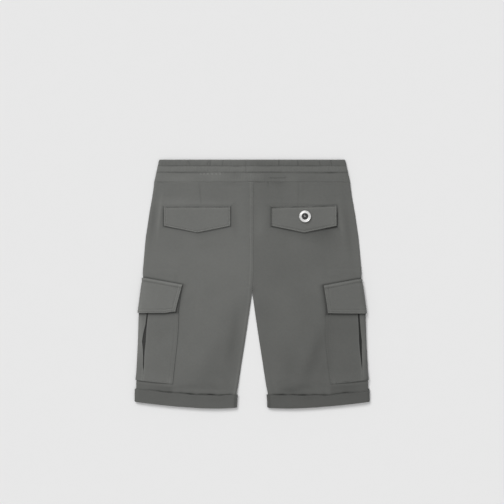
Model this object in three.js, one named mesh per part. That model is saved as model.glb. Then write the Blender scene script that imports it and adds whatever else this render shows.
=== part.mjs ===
// A child's cargo shorts, laid flat on a surface with the back up. Millimetres, +Z up, +Y to the waist,
// +X to the wearer's right. The origin is on the surface, under the middle of the shorts.
//
// Cloth is placed by three coordinates: reach, the distance along the cloth from the fold at the side of
// the shorts, positive on the back and negative on the front, level, the height up the garment before the
// hem's curve, and out, the distance outwards from the outer face of the front and back panels.
import * as THREE from "three";

// Driving sizes
const WAIST_Y = 204.2; // top edge of the waistband
const BAND_Y = 167.6; // lower edge of the waistband
const CROTCH_Y = -11.3; // where the legs part
const HEM_Y = -204.2; // lowest point of the cuffs
const CUFF_DEEP = 22; // height of the turned up cuff
const CLOTH = 1; // wall of one layer of cloth
const FLAP_CLOTH = 1.6; // wall of a flap, which is two layers
const CUFF_CLOTH = 2; // wall of a cuff, which is two layers
const BAND_CLOTH = 2.6; // wall of the waistband, cloth over elastic
const GAP = 0.3; // between pieces at seams and between layers that lie on each other

// How far the cloth bends round a fold at an edge of the shorts
const FOLD_WIDE = 5; // seen from above
const FOLD_ARC = 5.9; // along the cloth, from the edge to where it lies flat
const FOLD_STEPS = [0, 1.6, 3.6, FOLD_ARC];
const ROUND_FOLD = [...FOLD_STEPS.slice(1).reverse(), 0, ...FOLD_STEPS.slice(1).map((far) => -far)];

// The outline of the body and legs, without pockets and cuffs: half of the width at the sides, and half
// of the space between the legs.
const OUTLINE = [
  { level: 180, side: 158.6, inner: 0 },
  { level: 165, side: 160.9, inner: 0 },
  { level: 145, side: 163.8, inner: 0 },
  { level: 115, side: 169.0, inner: 0 },
  { level: 95, side: 172.0, inner: 0 },
  { level: 75, side: 174.9, inner: 0 },
  { level: 36, side: 178.3, inner: 0 },
  { level: 18, side: 179.5, inner: 0 },
  { level: 4, side: 178.5, inner: 0 },
  { level: CROTCH_Y, side: 180.2, inner: 0 },
  { level: -42, side: 184.1, inner: 4.1 },
  { level: -54, side: 184.8, inner: 5.8 },
  { level: -92, side: 186.1, inner: 11.4 },
  { level: -131, side: 187.7, inner: 17.4 },
  { level: -152, side: 188.7, inner: 20.5 },
  { level: -170, side: 190.2, inner: 23.4 },
  { level: -183, side: 190.4, inner: 25.9 },
  { level: -215, side: 191.0, inner: 27.6 },
];

// Soft swellings and hollows of the back layer: the middle, half the length and half the width, how far
// it is turned, and how far it lifts the cloth.
const SWELLS = [
  { x: -82, y: 42, long: 78, wide: 50, turn: 0, lift: 0.9 },
  { x: 84, y: 38, long: 78, wide: 50, turn: 0, lift: 0.8 },
  { x: -86, y: -82, long: 78, wide: 34, turn: 6, lift: 1.6 },
  { x: 80, y: -86, long: 74, wide: 34, turn: -7, lift: 1.5 },
  { x: -88, y: 76, long: 12, wide: 44, turn: 0, lift: -0.5 },
  { x: 90, y: 74, long: 14, wide: 44, turn: 0, lift: -0.6 },
  { x: -44, y: -18, long: 14, wide: 46, turn: 24, lift: -0.5 },
  { x: 46, y: -22, long: 14, wide: 46, turn: -22, lift: -0.5 },
  { x: -84, y: -166, long: 9, wide: 50, turn: 3, lift: 0.7 },
  { x: 74, y: -164, long: 9, wide: 44, turn: -4, lift: 0.6 },
];
const AIR = 0.9; // between the back and front layers where nothing lifts the cloth
const LEAST_AIR = 0.35;
const MOST_AIR = 3.5;
const BAND_AIR = 1.7; // more air next to the thick waistband
const BAND_AIR_REACH = 34;
const CROTCH_CLOSED = 26; // how far from the crotch the layers start to part

// The centre back seam lies a little to the right and runs into the crotch
const SEAM_SHIFT = 2.2;
const SEAM_RUN_IN = 40;

// The hem is lowest near the inner leg and rises to the side
const HEM_LOW = 0.2;
const HEM_RISE = 15.4;
const HEM_POWER = 1.6;
const HEM_CURVE = { none: -60, full: -175 };

// Cargo pockets, centred on a pleat that shows as a slit just inside the side fold. The back and front
// edges are reaches, and the back edge of each side tapers and bows on its way down.
const POCKET = { top: -5, bottom: -168, front: -40 };
const POCKET_BACK = {
  [-1]: { start: 64.8, taper: 4.4, bow: 1.8 },
  1: { start: 62.4, taper: -0.2, bow: 4.4 },
};
const SLIT = { reach: 11, start: 15, widest: -95, bottom: -144, width: 3.2, topShare: 0.6 };

// The pleat's cloth under the slit: how far it runs to the back and to the front, and the ramp down to
// where the pocket lies on the panel.
const PLEAT = { back: 12, front: 3.2, turn: (CLOTH + GAP) / 2, ramp: 12, rampShare: 0.6 };
const PLEAT_INSIDE = SLIT.reach + SLIT.width / 2 + PLEAT.back;
const PLEAT_OUTSIDE = SLIT.reach - SLIT.width / 2 - PLEAT.front;
const PLEAT_RISE = 2 * (CLOTH + GAP);
const TURN_PARTS = [0, 1 / 3, 2 / 3, 1];
const FOLD_RISE_START = -2.5;

// Cargo flaps: how the top falls away from the side fold, where the lower edge rises to its corners, and
// the reach of the front edge at the top and at the bottom. Then, for each side, the height of the top at
// the side fold, the lower edge, how far its corners rise, and the reach of the back edge.
const FLAP = { fall: 11, fallReach: 60, fallRound: 3, front: [-43.3, -37.7] };
const FLAP_CORNER = { middle: 8, start: 30, end: 54 };
const FLAP_SIDES = {
  [-1]: { top: 10.6, bottom: -47.5, cornerRise: 2.4, back: [65.3, 59.7] },
  1: { top: 10.6, bottom: -47.5, cornerRise: 0.5, back: [62.6, 61.5] },
};
const FLAP_ROWS = [0, 0.12, 0.4, 0.7, 1];

// How the cloth steps up onto what lies under it: how far past it the front panel comes down to the
// floor, how many times that the back layer takes, and how far in and up the pocket and flap reach.
const STEP = {
  way: 12,
  bridge: 4,
  cuffBridge: 24,
  pocket: 42,
  flap: 45,
  above: 14,
  flapEnd: -49.5,
  pocketEnd: -169.5,
  cuff: -180,
};

// Cuffs: the turned in lower edge, and the upper edge that stands off the leg on the back
const CUFF = {
  turn: 1.6,
  lip: 0.2,
  round: 0.8,
  tuck: 0.75,
  edge: 1,
  edgeShare: 0.8,
  middleShare: 0.3,
  loose: 0.9,
  looseFrom: [10, 40],
  looseInner: 20,
};

// Back pocket flaps: each one's edges, the height of its top at the inner edge and the rise to the outer.
const BACK_FLAPS = [
  { side: -1, inner: 35.8, outer: 144.6, top: 127.6, rise: -0.6 },
  { side: 1, inner: 31.7, outer: 138.8, top: 126.4, rise: 2.8 },
];
const BACK_FLAP = { corner: 95.3, tip: 84.1, kick: 1.1 };
const BACK_FLAP_LINES = {
  across: [0, 0.06, 0.2, 0.35, 0.5, 0.65, 0.8, 0.94, 1],
  down: [0, 0.2, 0.45, 0.7, 0.9, 1],
};

// The waistband, a band round the waist over elastic. Two rows of stitching pull it into three channels,
// and the elastic draws the back into small gathers. The front lies flat on the surface.
const BAND = {
  half: 2.9,
  foldWide: 7,
  foldParts: [0, 0.33, 0.66, 1],
  side: 160.9,
  topSide: 152.7,
  gathers: 21,
  swell: 0.75,
  least: 0.45,
  backSteps: 40,
  frontSteps: 6,
};
const BAND_STITCHES = [BAND_Y, 183.2, 193.7, WAIST_Y];
const BAND_LEVELS = [BAND_Y, 171, 175.4, 180, 183.2, 188.4, 193.7, 199, 202.6, WAIST_Y];
const GATHER_DRIFT = [
  { size: 0.9, x: 23, y: 31 },
  { size: 0.6, x: 9.7, y: -17 },
];

// A ring button with a stud in its middle, on the right back flap
const BUTTON = { x: 86.7, y: 110.9, radius: 10, hole: 4.8, high: 3.2, stud: 4.4, nail: 1.9, clear: 0.45 };

// Where the panels' and pockets' lines of points lie: their levels, and on each the distances from the
// side fold, shares of the way between, and distances from the inner edge.
const PANEL_LEVELS = [
  BAND_Y - GAP, 158, 146, 130, 112, 92, 70, 48, 28, 14, 4, -4, CROTCH_Y, -17, -24, -33, -45, -60, -76,
  -94, -112, -130, -148, -160, -170.5, -176, -181, -191, HEM_Y + 1.9,
];
const INNER_FOLD = [FOLD_ARC, 2.4, 0];
const BACK_LINES = {
  nearSide: [...FOLD_STEPS, 12, 22, 34, 48, 62],
  between: [0.25, 0.5, 0.75],
  nearInner: [28, 13, ...INNER_FOLD],
};
const FRONT_LINES = { nearSide: [...FOLD_STEPS, 42, 48, 57], between: [0.5], nearInner: [24, ...INNER_FOLD] };
const CUFF_LINES = { nearSide: [...FOLD_STEPS, 16, 34, 54, 76, 98], nearInner: [46, 28, 14, ...INNER_FOLD] };

const CLOTH_COLOUR = 0x6b6b67;
const RING_COLOUR = 0xd9d9d6;
const STUD_COLOUR = 0x3a3a3a;

const mix = (a, b, t) => a + (b - a) * t;
const clamp = (v, low, high) => Math.min(high, Math.max(low, v));

// Rises smoothly from 0 at the first value to 1 at the second, which may be the lower one.
function ease(from, to, v) {
  const t = clamp((v - from) / (to - from), 0, 1);
  return t * t * (3 - 2 * t);
}

// One column of a table as a smooth curve over its levels, which run from high to low.
function column(rows, name, level) {
  const last = rows.length - 1;
  const i = clamp(rows.findIndex((row) => row.level <= level) - 1, 0, last - 1);
  const [before, a, b, after] = [i - 1, i, i + 1, i + 2].map((k) => rows[clamp(k, 0, last)]);
  const span = b.level - a.level;
  const t = clamp((level - a.level) / span, 0, 1);
  const slopeA = ((b[name] - before[name]) / (b.level - before.level)) * span;
  const slopeB = ((after[name] - a[name]) / (after.level - a.level)) * span;
  const [t2, t3] = [t * t, t * t * t];
  const ends = (2 * t3 - 3 * t2 + 1) * a[name] + (3 * t2 - 2 * t3) * b[name];
  return ends + (t3 - 2 * t2 + t) * slopeA + (t3 - t2) * slopeB;
}

// How thick what lies under the front panel is, from the floor up: pocket, flap and cuff. The cloth comes
// down to the floor past them over a short way, and the back layer bridges the step over a long way.
function underlay(inset, level, way, cuffWay) {
  const pocketSide = ease(STEP.pocket + way, STEP.pocket, inset);
  const flapSide = ease(STEP.flap + way, STEP.flap, inset);
  const topEnd = ease(STEP.above + way, STEP.above, level);
  const pocketEnds = topEnd * ease(STEP.cuff, STEP.pocketEnd, level);
  const flapEnds = topEnd * ease(STEP.flapEnd - way, STEP.flapEnd, level);
  const cuff = ease(STEP.pocketEnd + cuffWay, STEP.cuff, level);
  return (
    (CLOTH + GAP) * pocketSide * pocketEnds +
    (FLAP_CLOTH + GAP) * flapSide * flapEnds +
    (CUFF_CLOTH + GAP) * cuff
  );
}

// Air between the two layers at a point of the garment.
function air(x, y) {
  let lift = AIR + BAND_AIR * ease(BAND_Y - BAND_AIR_REACH, BAND_Y, y);
  for (const swell of SWELLS) {
    const turn = THREE.MathUtils.degToRad(swell.turn);
    const [dx, dy] = [x - swell.x, y - swell.y];
    const across = (dx * Math.cos(turn) + dy * Math.sin(turn)) / swell.wide;
    const along = (dy * Math.cos(turn) - dx * Math.sin(turn)) / swell.long;
    lift += swell.lift * Math.exp(-across * across - along * along);
  }
  const parted = ease(0, CROTCH_CLOSED, Math.hypot(x, y - CROTCH_Y));
  return mix(GAP, clamp(lift, LEAST_AIR, MOST_AIR), parted);
}

// The lowest and highest outer face of the two layers at a point of the garment.
function stack(x, inset, level) {
  const low = underlay(inset, level, STEP.way, 0);
  const bridged = underlay(inset, level, STEP.way * STEP.bridge, STEP.cuffBridge);
  const between = clamp(air(x, level) + bridged - low, GAP, MOST_AIR);
  return { low, high: low + 2 * CLOTH + between };
}

function innerEdge(side, layer, level) {
  const inner = column(OUTLINE, "inner", level);
  const shift = SEAM_SHIFT * ease(CROTCH_Y, CROTCH_Y + SEAM_RUN_IN, level);
  return Math.max(inner, 0) + (layer > 0 ? side * shift : 0) + GAP / 2;
}

// How far the inner leg's edge is folded: not at all above the crotch, and fully a little below it.
const innerCurl = (level) => ease(CROTCH_Y + 2, CROTCH_Y - 20, level);

// The length of cloth from the side fold to the seam at the inner edge.
function breadth(side, layer, level) {
  const flat = column(OUTLINE, "side", level) - innerEdge(side, layer, level);
  return flat + (FOLD_ARC - FOLD_WIDE) * (1 + innerCurl(level));
}

// A point of cloth, from its reach, level and distance out, with the height of the seam under it.
function cloth(side, reach, level, out) {
  const layer = reach < 0 ? -1 : 1;
  const far = Math.abs(reach);
  const wide = column(OUTLINE, "side", level);
  const inner = innerEdge(side, layer, level);
  const curl = innerCurl(level);
  const left = Math.max(breadth(side, layer, level) - far, 0);
  const bend = Math.min(far / FOLD_ARC, 1) * (Math.PI / 2);
  const innerBend = Math.min(left / FOLD_ARC, 1) * (Math.PI / 2);
  let x = wide - FOLD_WIDE * (1 - Math.cos(bend)) - Math.max(far - FOLD_ARC, 0);
  if (left < FOLD_ARC) x = mix(inner + left, inner + FOLD_WIDE * (1 - Math.cos(innerBend)), curl);
  const { low, high } = stack(side * x, wide - x, level);
  const seam = (low + high) / 2;
  const rise = Math.sin(bend) * (1 - curl * (1 - Math.sin(innerBend)));
  const away = new THREE.Vector2(Math.cos(bend) - curl * Math.cos(innerBend), rise).normalize();
  const share = clamp((x - inner) / (wide - inner), 0, 1);
  const hem = HEM_RISE * Math.abs(share - HEM_LOW) ** HEM_POWER * ease(HEM_CURVE.none, HEM_CURVE.full, level);
  const z = seam + layer * (((high - low) / 2) * rise + out * away.y);
  return { point: new THREE.Vector3(side * (x + out * away.x), level + hem, z), seam };
}

const clothPoint = (side, reach, level, out) => cloth(side, reach, level, out).point;

// The reach of a point of the back layer that lies flat.
const reachAt = (x, level) => column(OUTLINE, "side", level) - Math.abs(x) + FOLD_ARC - FOLD_WIDE;

// A closed body between two faces, each a list of lines of points.
function wall(outer, inner) {
  const lines = outer.length;
  const count = outer[0].length;
  const positions = [...outer.flat(), ...inner.flat()].flatMap((p) => [p.x, p.y, p.z]);
  const index = [];
  const at = (i, j) => i * count + j;
  const under = (i, j) => lines * count + at(i, j);
  const quad = (a, b, c, d) => index.push(a, b, c, a, c, d);
  for (let i = 0; i < lines - 1; i++) {
    for (let j = 0; j < count - 1; j++) {
      quad(at(i, j), at(i + 1, j), at(i + 1, j + 1), at(i, j + 1));
      quad(under(i, j), under(i, j + 1), under(i + 1, j + 1), under(i + 1, j));
    }
    quad(at(i, 0), under(i, 0), under(i + 1, 0), at(i + 1, 0));
    quad(at(i, count - 1), at(i + 1, count - 1), under(i + 1, count - 1), under(i, count - 1));
  }
  for (let j = 0; j < count - 1; j++) {
    quad(at(0, j), at(0, j + 1), under(0, j + 1), under(0, j));
    quad(at(lines - 1, j), under(lines - 1, j), under(lines - 1, j + 1), at(lines - 1, j + 1));
  }
  return facingOut(positions, index);
}

// A ring whose cross-sections are closed outlines with the same number of points.
function ring(sections) {
  const [around, count] = [sections.length, sections[0].length];
  const index = [];
  for (let i = 0; i < around; i++) {
    for (let j = 0; j < count; j++) {
      const [a, b] = [i * count + j, i * count + ((j + 1) % count)];
      const [c, d] = [((i + 1) % around) * count + ((j + 1) % count), ((i + 1) % around) * count + j];
      index.push(a, b, c, a, c, d);
    }
  }
  return facingOut(sections.flat().flatMap((p) => [p.x, p.y, p.z]), index);
}

// Geometry from points and triangles, turned round if its faces point inwards.
function facingOut(positions, index) {
  const corner = (k) => new THREE.Vector3().fromArray(positions, 3 * index[k]);
  let volume = 0;
  for (let k = 0; k < index.length; k += 3) volume += corner(k).dot(corner(k + 1).cross(corner(k + 2)));
  if (volume < 0) {
    for (let k = 0; k < index.length; k += 3) [index[k + 1], index[k + 2]] = [index[k + 2], index[k + 1]];
  }
  const geometry = new THREE.BufferGeometry();
  geometry.setAttribute("position", new THREE.Float32BufferAttribute(positions, 3));
  geometry.setIndex(index);
  geometry.computeVertexNormals();
  return geometry;
}

// The front or back panel of one side: a single layer from the side seam to the centre seam and inner leg.
function panel(side, layer) {
  const { nearSide, between, nearInner } = layer > 0 ? BACK_LINES : FRONT_LINES;
  const lines = (level) => {
    const whole = breadth(side, layer, level);
    const [a, b] = [nearSide.at(-1), whole - nearInner[0]];
    return [...nearSide, ...between.map((t) => mix(a, b, t)), ...nearInner.map((left) => whole - left)];
  };
  const clearOfSeam = (far, level, out) => {
    const { point, seam } = cloth(side, layer * far, level, out);
    const limit = seam + (layer * GAP) / 2;
    point.z = layer > 0 ? Math.max(point.z, limit) : Math.min(point.z, limit);
    return point;
  };
  const face = (out) => PANEL_LEVELS.map((level) => lines(level).map((far) => clearOfSeam(far, level, out)));
  return wall(face(0), face(-CLOTH));
}

// How far the slit in the pocket's pleat is open at a level.
function slitWidth(level) {
  const up = mix(SLIT.topShare, 1, ease(SLIT.start, SLIT.widest, level));
  const down = ease(SLIT.bottom, SLIT.widest, level);
  return mix(GAP, SLIT.width, level > SLIT.widest ? up : down);
}

// How much of the pleat's height is left where the pocket goes round the side fold.
const foldRise = (reach) => ease(FOLD_RISE_START, FOLD_ARC, reach);

// The path of the pocket's cloth, by its middle line: over the back half, into the pleat, under the slit,
// out of the pleat and round the side fold to the front edge.
function pocketPath(side, level) {
  const [low, step, turn] = [GAP + CLOTH / 2, CLOTH + GAP, PLEAT.turn];
  const [second, top] = [low + step, low + 2 * step];
  const half = slitWidth(level) / 2 + CLOTH / 2;
  const [backFold, frontFold] = [SLIT.reach + half, SLIT.reach - half];
  const down = ease(POCKET.top, POCKET.bottom, level);
  const { start, taper, bow } = POCKET_BACK[side];
  const backEdge = start - taper * down + bow * Math.sin(Math.PI * down);
  const path = [
    [backEdge, low],
    [58, low],
    [48, low],
    [PLEAT_INSIDE + PLEAT.ramp, low],
    [PLEAT_INSIDE + PLEAT.ramp / 2, mix(low, top, PLEAT.rampShare)],
    [PLEAT_INSIDE, top],
  ];
  const uTurn = (reach, out, from, to) => {
    for (const part of TURN_PARTS) {
      const angle = THREE.MathUtils.degToRad(mix(from, to, part));
      path.push([reach + turn * Math.cos(angle), out + turn * Math.sin(angle)]);
    }
  };
  uTurn(backFold + turn - CLOTH / 2, top - turn, 90, 270);
  uTurn(PLEAT_INSIDE, low + turn, 90, -90);
  uTurn(PLEAT_OUTSIDE, low + turn, 270, 90);
  uTurn(frontFold - turn + CLOTH / 2, second + turn, -90, 90);
  for (const reach of ROUND_FOLD) path.push([reach, mix(low, top, foldRise(reach))]);
  for (const reach of [-20, -32, POCKET.front]) path.push([reach, low]);
  return path;
}

// The pocket's outer face over the panel, at a reach: high over the pleat, low elsewhere.
function pocketTop(reach) {
  const ramp = ease(PLEAT_INSIDE + PLEAT.ramp, PLEAT_INSIDE, reach);
  return GAP + CLOTH + PLEAT_RISE * Math.min(ramp, foldRise(reach));
}

function cargoPocket(side) {
  const levels = [...PANEL_LEVELS.filter((y) => y < POCKET.top && y > POCKET.bottom), POCKET.bottom];
  const faces = [POCKET.top, ...levels].map((level) => {
    const path = pocketPath(side, level);
    return path.map(([reach, out], k) => {
      const [a, b] = [path[Math.max(k - 1, 0)], path[Math.min(k + 1, path.length - 1)]];
      const along = new THREE.Vector2(b[0] - a[0], b[1] - a[1]).normalize().multiplyScalar(CLOTH / 2);
      return [1, -1].map((way) => clothPoint(side, reach + way * along.y, level, out - way * along.x));
    });
  });
  const under = faces.map((row) => row.map(([first]) => first));
  const over = faces.map((row) => row.map(([, second]) => second));
  return wall(under, over);
}

// The cargo flap lies over the pocket's top and wraps round the side fold with it.
function cargoFlap(side) {
  const ramp = [PLEAT_INSIDE + PLEAT.ramp, PLEAT_INSIDE + PLEAT.ramp / 2, PLEAT_INSIDE];
  const reaches = [58, 48, ...ramp, 16, ...ROUND_FOLD, -14, -24, -34];
  const edge = FLAP_SIDES[side];
  const rows = FLAP_ROWS.map((down) => {
    const line = [mix(...edge.back, down), ...reaches, mix(...FLAP.front, down)];
    return line.map((reach) => {
      const fall = (Math.hypot(reach, FLAP.fallRound) - FLAP.fallRound) / FLAP.fallReach;
      const top = edge.top - FLAP.fall * fall;
      const corner = ease(FLAP_CORNER.start, FLAP_CORNER.end, Math.abs(reach - FLAP_CORNER.middle));
      const bottom = edge.bottom + edge.cornerRise * corner;
      return { reach, level: mix(top, bottom, down), out: pocketTop(reach) + GAP };
    });
  });
  const face = (more) => rows.map((row) => row.map((p) => clothPoint(side, p.reach, p.level, p.out + more)));
  return wall(face(FLAP_CLOTH), face(0));
}

// A point on or over the back pocket flap: across is 0 at the inner edge and 1 at the outer one, and down
// is 0 at the top and 1 at the pointed lower edge, which kicks away from the cloth.
function backFlapPoint(flap, across, down, out) {
  const x = mix(flap.inner, flap.outer, across);
  const bottom = mix(BACK_FLAP.corner, BACK_FLAP.tip, 1 - Math.abs(2 * across - 1));
  const level = mix(flap.top + flap.rise * across, bottom, down);
  return clothPoint(flap.side, reachAt(x, level), level, GAP + BACK_FLAP.kick * down * down + out);
}

function backFlap(flap) {
  const { across, down } = BACK_FLAP_LINES;
  const face = (out) => down.map((v) => across.map((u) => backFlapPoint(flap, u, v, out)));
  return wall(face(FLAP_CLOTH), face(0));
}

// A cuff's cross-section, as distances out and levels. It is turned in under the cloth's edge, and its
// upper edge stands off by loose.
function cuffProfile(loose) {
  const [top, turn, middle] = [HEM_Y + CUFF_DEEP, HEM_Y + CUFF.turn, HEM_Y + CUFF_DEEP / 2];
  const outer = GAP + CUFF_CLOTH;
  return [
    [GAP + loose, top],
    [CUFF_CLOTH + loose, top],
    [outer + loose * CUFF.edgeShare, top - CUFF.edge],
    [outer + loose * CUFF.middleShare, middle],
    [outer, turn],
    [outer - CUFF.round, HEM_Y + CUFF.lip],
    [CUFF.tuck / 2, HEM_Y],
    [-CUFF.tuck, HEM_Y + CUFF.lip],
    [-CUFF.tuck, turn],
    [GAP, turn],
    [GAP + loose * CUFF.middleShare, middle],
  ];
}

// A cuff: a band round the leg's end.
function cuff(side) {
  const top = HEM_Y + CUFF_DEEP;
  const around = (layer) => {
    const whole = breadth(side, layer, top);
    const nearInner = CUFF_LINES.nearInner.map((left) => whole - left);
    return [...CUFF_LINES.nearSide, ...nearInner].map((far) => ({ layer, far, share: far / whole }));
  };
  const stations = [...around(1), ...around(-1).reverse().slice(1, -1)];
  const sections = stations.map(({ layer, far, share }) => {
    const free = ease(...CUFF.looseFrom, far) * ease(0, CUFF.looseInner, breadth(side, 1, top) - far);
    return cuffProfile(layer > 0 ? CUFF.loose * free : 0).map(([out, level]) =>
      clothPoint(side, layer * share * breadth(side, layer, level), level, out),
    );
  });
  return ring(sections);
}

const bandSide = (y) => mix(BAND.side, BAND.topSide, (y - BAND_Y) / (WAIST_Y - BAND_Y));

// How far the back of the waistband stands up between its rows of stitching.
function bandSwell(x, y) {
  const above = clamp(BAND_STITCHES.findIndex((line) => line >= y), 1, BAND_STITCHES.length - 1);
  const [a, b] = [BAND_STITCHES[above - 1], BAND_STITCHES[above]];
  const channel = Math.sin(Math.PI * clamp((y - a) / (b - a), 0, 1));
  const drift = GATHER_DRIFT.reduce((sum, wave) => sum + wave.size * Math.sin(x / wave.x + y / wave.y), 0);
  const gather = 0.5 + 0.5 * Math.cos((x / BAND.side) * Math.PI * BAND.gathers + drift);
  return BAND.swell * channel * mix(BAND.least, 1, gather);
}

// A point of the waistband, from its share of the way from the side fold to the middle, its height, and
// its distance out from the outer face.
function bandPoint(station, y, out) {
  const wide = bandSide(y);
  const { side, layer, bend, share } = station;
  const flatPart = (wide - BAND.foldWide) * share;
  const x = wide - BAND.foldWide * (1 - Math.cos(bend)) - flatPart;
  const swell = layer > 0 && out === 0 ? bandSwell(side * x, y) * Math.sin(bend) : 0;
  const z = BAND.half + layer * (BAND.half + out + swell) * Math.sin(bend);
  return new THREE.Vector3(side * (x + out * Math.cos(bend)), y, z);
}

function waistband() {
  const half = (side, layer, count) => {
    const at = (bendPart, share) => ({ side, layer, bend: (bendPart * Math.PI) / 2, share });
    const fold = BAND.foldParts.map((part) => at(part, 0));
    return [...fold, ...Array.from({ length: count }, (_, k) => at(1, (k + 1) / count))];
  };
  const stations = [
    ...half(-1, 1, BAND.backSteps),
    ...half(1, 1, BAND.backSteps).reverse().slice(1),
    ...half(1, -1, BAND.frontSteps).slice(1),
    ...half(-1, -1, BAND.frontSteps).reverse().slice(1, -1),
  ];
  const outer = stations.map((station) => BAND_LEVELS.map((y) => bandPoint(station, y, 0)));
  const inner = stations.map((station) => [WAIST_Y, BAND_Y].map((y) => bandPoint(station, y, -BAND_CLOTH)));
  return ring(stations.map((_, i) => [...outer[i], ...inner[i]]));
}

// The ring of the button, a rounded washer, and its stud, a dished disc with a nail's head.
function buttonRing() {
  const { radius, hole, high } = BUTTON;
  const outline = [
    [hole, 0.2], [radius - 0.7, 0], [radius, 0.8], [radius - 0.1, 1.9], [radius - 1.1, high - 0.3],
    [radius - 2.4, high], [hole + 1.3, high - 0.3], [hole + 0.3, high - 1], [hole, high - 1.8], [hole, 0.2],
  ];
  return new THREE.LatheGeometry(outline.map(([r, z]) => new THREE.Vector2(r, z)), 28).rotateX(Math.PI / 2);
}

function buttonStud() {
  const { stud, nail } = BUTTON;
  const outline = [
    [0, 0], [stud, 0], [stud, 0.5], [nail + 0.6, 0.7], [nail, 1.1], [nail, 1.7], [nail * 0.6, 2.2], [0, 2.4],
  ];
  return new THREE.LatheGeometry(outline.map(([r, z]) => new THREE.Vector2(r, z)), 24).rotateX(Math.PI / 2);
}

const shorts = new THREE.Group();

function add(name, geometry, colour, roughness = 0.9, metalness = 0) {
  const material = new THREE.MeshStandardMaterial({ color: colour, roughness, metalness });
  const mesh = new THREE.Mesh(geometry, material);
  mesh.name = name;
  shorts.add(mesh);
  return mesh;
}

for (const [side, word] of [[-1, "left"], [1, "right"]]) {
  add(`back_${word}`, panel(side, 1), CLOTH_COLOUR);
  add(`front_${word}`, panel(side, -1), CLOTH_COLOUR);
  add(`cargo_pocket_${word}`, cargoPocket(side), CLOTH_COLOUR);
  add(`cargo_flap_${word}`, cargoFlap(side), CLOTH_COLOUR);
  add(`back_flap_${word}`, backFlap(BACK_FLAPS.find((flap) => flap.side === side)), CLOTH_COLOUR);
  add(`cuff_${word}`, cuff(side), CLOTH_COLOUR);
}
add("waistband", waistband(), CLOTH_COLOUR);

const buttoned = BACK_FLAPS[1];
const across = (BUTTON.x - buttoned.inner) / (buttoned.outer - buttoned.inner);
const down = (buttoned.top + buttoned.rise * across - BUTTON.y) / (buttoned.top - BACK_FLAP.tip);
const seat = backFlapPoint(buttoned, across, down, FLAP_CLOTH + BUTTON.clear);
seat.set(BUTTON.x, BUTTON.y, seat.z);
add("button_ring", buttonRing(), RING_COLOUR, 0.3, 1).position.copy(seat);
add("button_stud", buttonStud(), STUD_COLOUR, 0.4, 1).position.copy(seat);

export default shorts;
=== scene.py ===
"""Cargo shorts of washed twill, laid flat with the back up, built round the packed CAD frame.

Shapes are worked out in millimetres with the formulas and sizes of the CAD source, on finer grids, and are
put into meshes in metres. Cloth is placed by three coordinates: reach, the distance along the cloth from
the fold at the side of the shorts, positive on the back and negative on the front, level, the height up
the garment before the hem's curve, and out, the distance outwards from the panels' outer face.
"""

import math

import bmesh
import bpy
import numpy as np
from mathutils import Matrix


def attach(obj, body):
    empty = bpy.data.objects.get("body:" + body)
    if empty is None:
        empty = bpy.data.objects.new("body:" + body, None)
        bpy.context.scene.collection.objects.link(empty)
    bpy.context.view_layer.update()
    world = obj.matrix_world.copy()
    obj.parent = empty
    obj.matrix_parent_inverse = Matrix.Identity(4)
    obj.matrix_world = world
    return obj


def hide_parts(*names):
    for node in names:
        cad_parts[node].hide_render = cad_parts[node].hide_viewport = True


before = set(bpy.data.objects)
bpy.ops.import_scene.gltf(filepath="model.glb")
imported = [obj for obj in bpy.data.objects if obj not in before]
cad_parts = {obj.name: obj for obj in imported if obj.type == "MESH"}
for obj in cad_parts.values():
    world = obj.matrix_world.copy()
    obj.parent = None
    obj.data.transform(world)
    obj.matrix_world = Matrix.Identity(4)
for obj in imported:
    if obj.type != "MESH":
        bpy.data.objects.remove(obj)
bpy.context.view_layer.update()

bl_info = {
    "name": "Cargo shorts",
    "version": (1, 0, 0),
    "blender": (4, 5, 0),
    "location": "3D View > Sidebar > Shorts",
    "description": "Builds the cloth, stitching and button of cargo shorts laid flat",
    "category": "Add Mesh",
}

MM = 0.001
SIDES = ((-1, "left"), (1, "right"))

# Driving sizes, in millimetres
WAIST_Y = 204.2
BAND_Y = 167.6
CROTCH_Y = -11.3
HEM_Y = -204.2
CUFF_DEEP = 22.0
CLOTH = 1.0
FLAP_CLOTH = 1.6
CUFF_CLOTH = 2.0
BAND_CLOTH = 2.6
GAP = 0.3
SEAM_GAP = 0.06
FOLD_WIDE = 5.0
FOLD_ARC = 5.9

# The outline of the body and legs: level, half of the width at the sides, half of the space between the legs
LEVEL, SIDE, INNER = range(3)
OUTLINE = np.array((
    (180, 158.6, 0),
    (165, 160.9, 0),
    (145, 163.8, 0),
    (115, 169.0, 0),
    (95, 172.0, 0),
    (75, 174.9, 0),
    (36, 178.3, 0),
    (18, 179.5, 0),
    (4, 178.5, 0),
    (CROTCH_Y, 180.2, 0),
    (-42, 184.1, 4.1),
    (-54, 184.8, 5.8),
    (-92, 186.1, 11.4),
    (-131, 187.7, 17.4),
    (-152, 188.7, 20.5),
    (-170, 190.2, 23.4),
    (-183, 190.4, 25.9),
    (-215, 191.0, 27.6),
))

# Swellings and hollows of the back layer, as in the CAD source: x, y, half length, half width, turn, lift
SWELLS = (
    (-82, 42, 78, 50, 0, 0.9),
    (84, 38, 78, 50, 0, 0.8),
    (-86, -82, 78, 34, 6, 1.6),
    (80, -86, 74, 34, -7, 1.5),
    (-88, 76, 12, 44, 0, -0.5),
    (90, 74, 14, 44, 0, -0.6),
    (-44, -18, 14, 46, 24, -0.5),
    (46, -22, 14, 46, -22, -0.5),
    (-84, -166, 9, 50, 3, 0.7),
    (74, -164, 9, 44, -4, 0.6),
)

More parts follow.
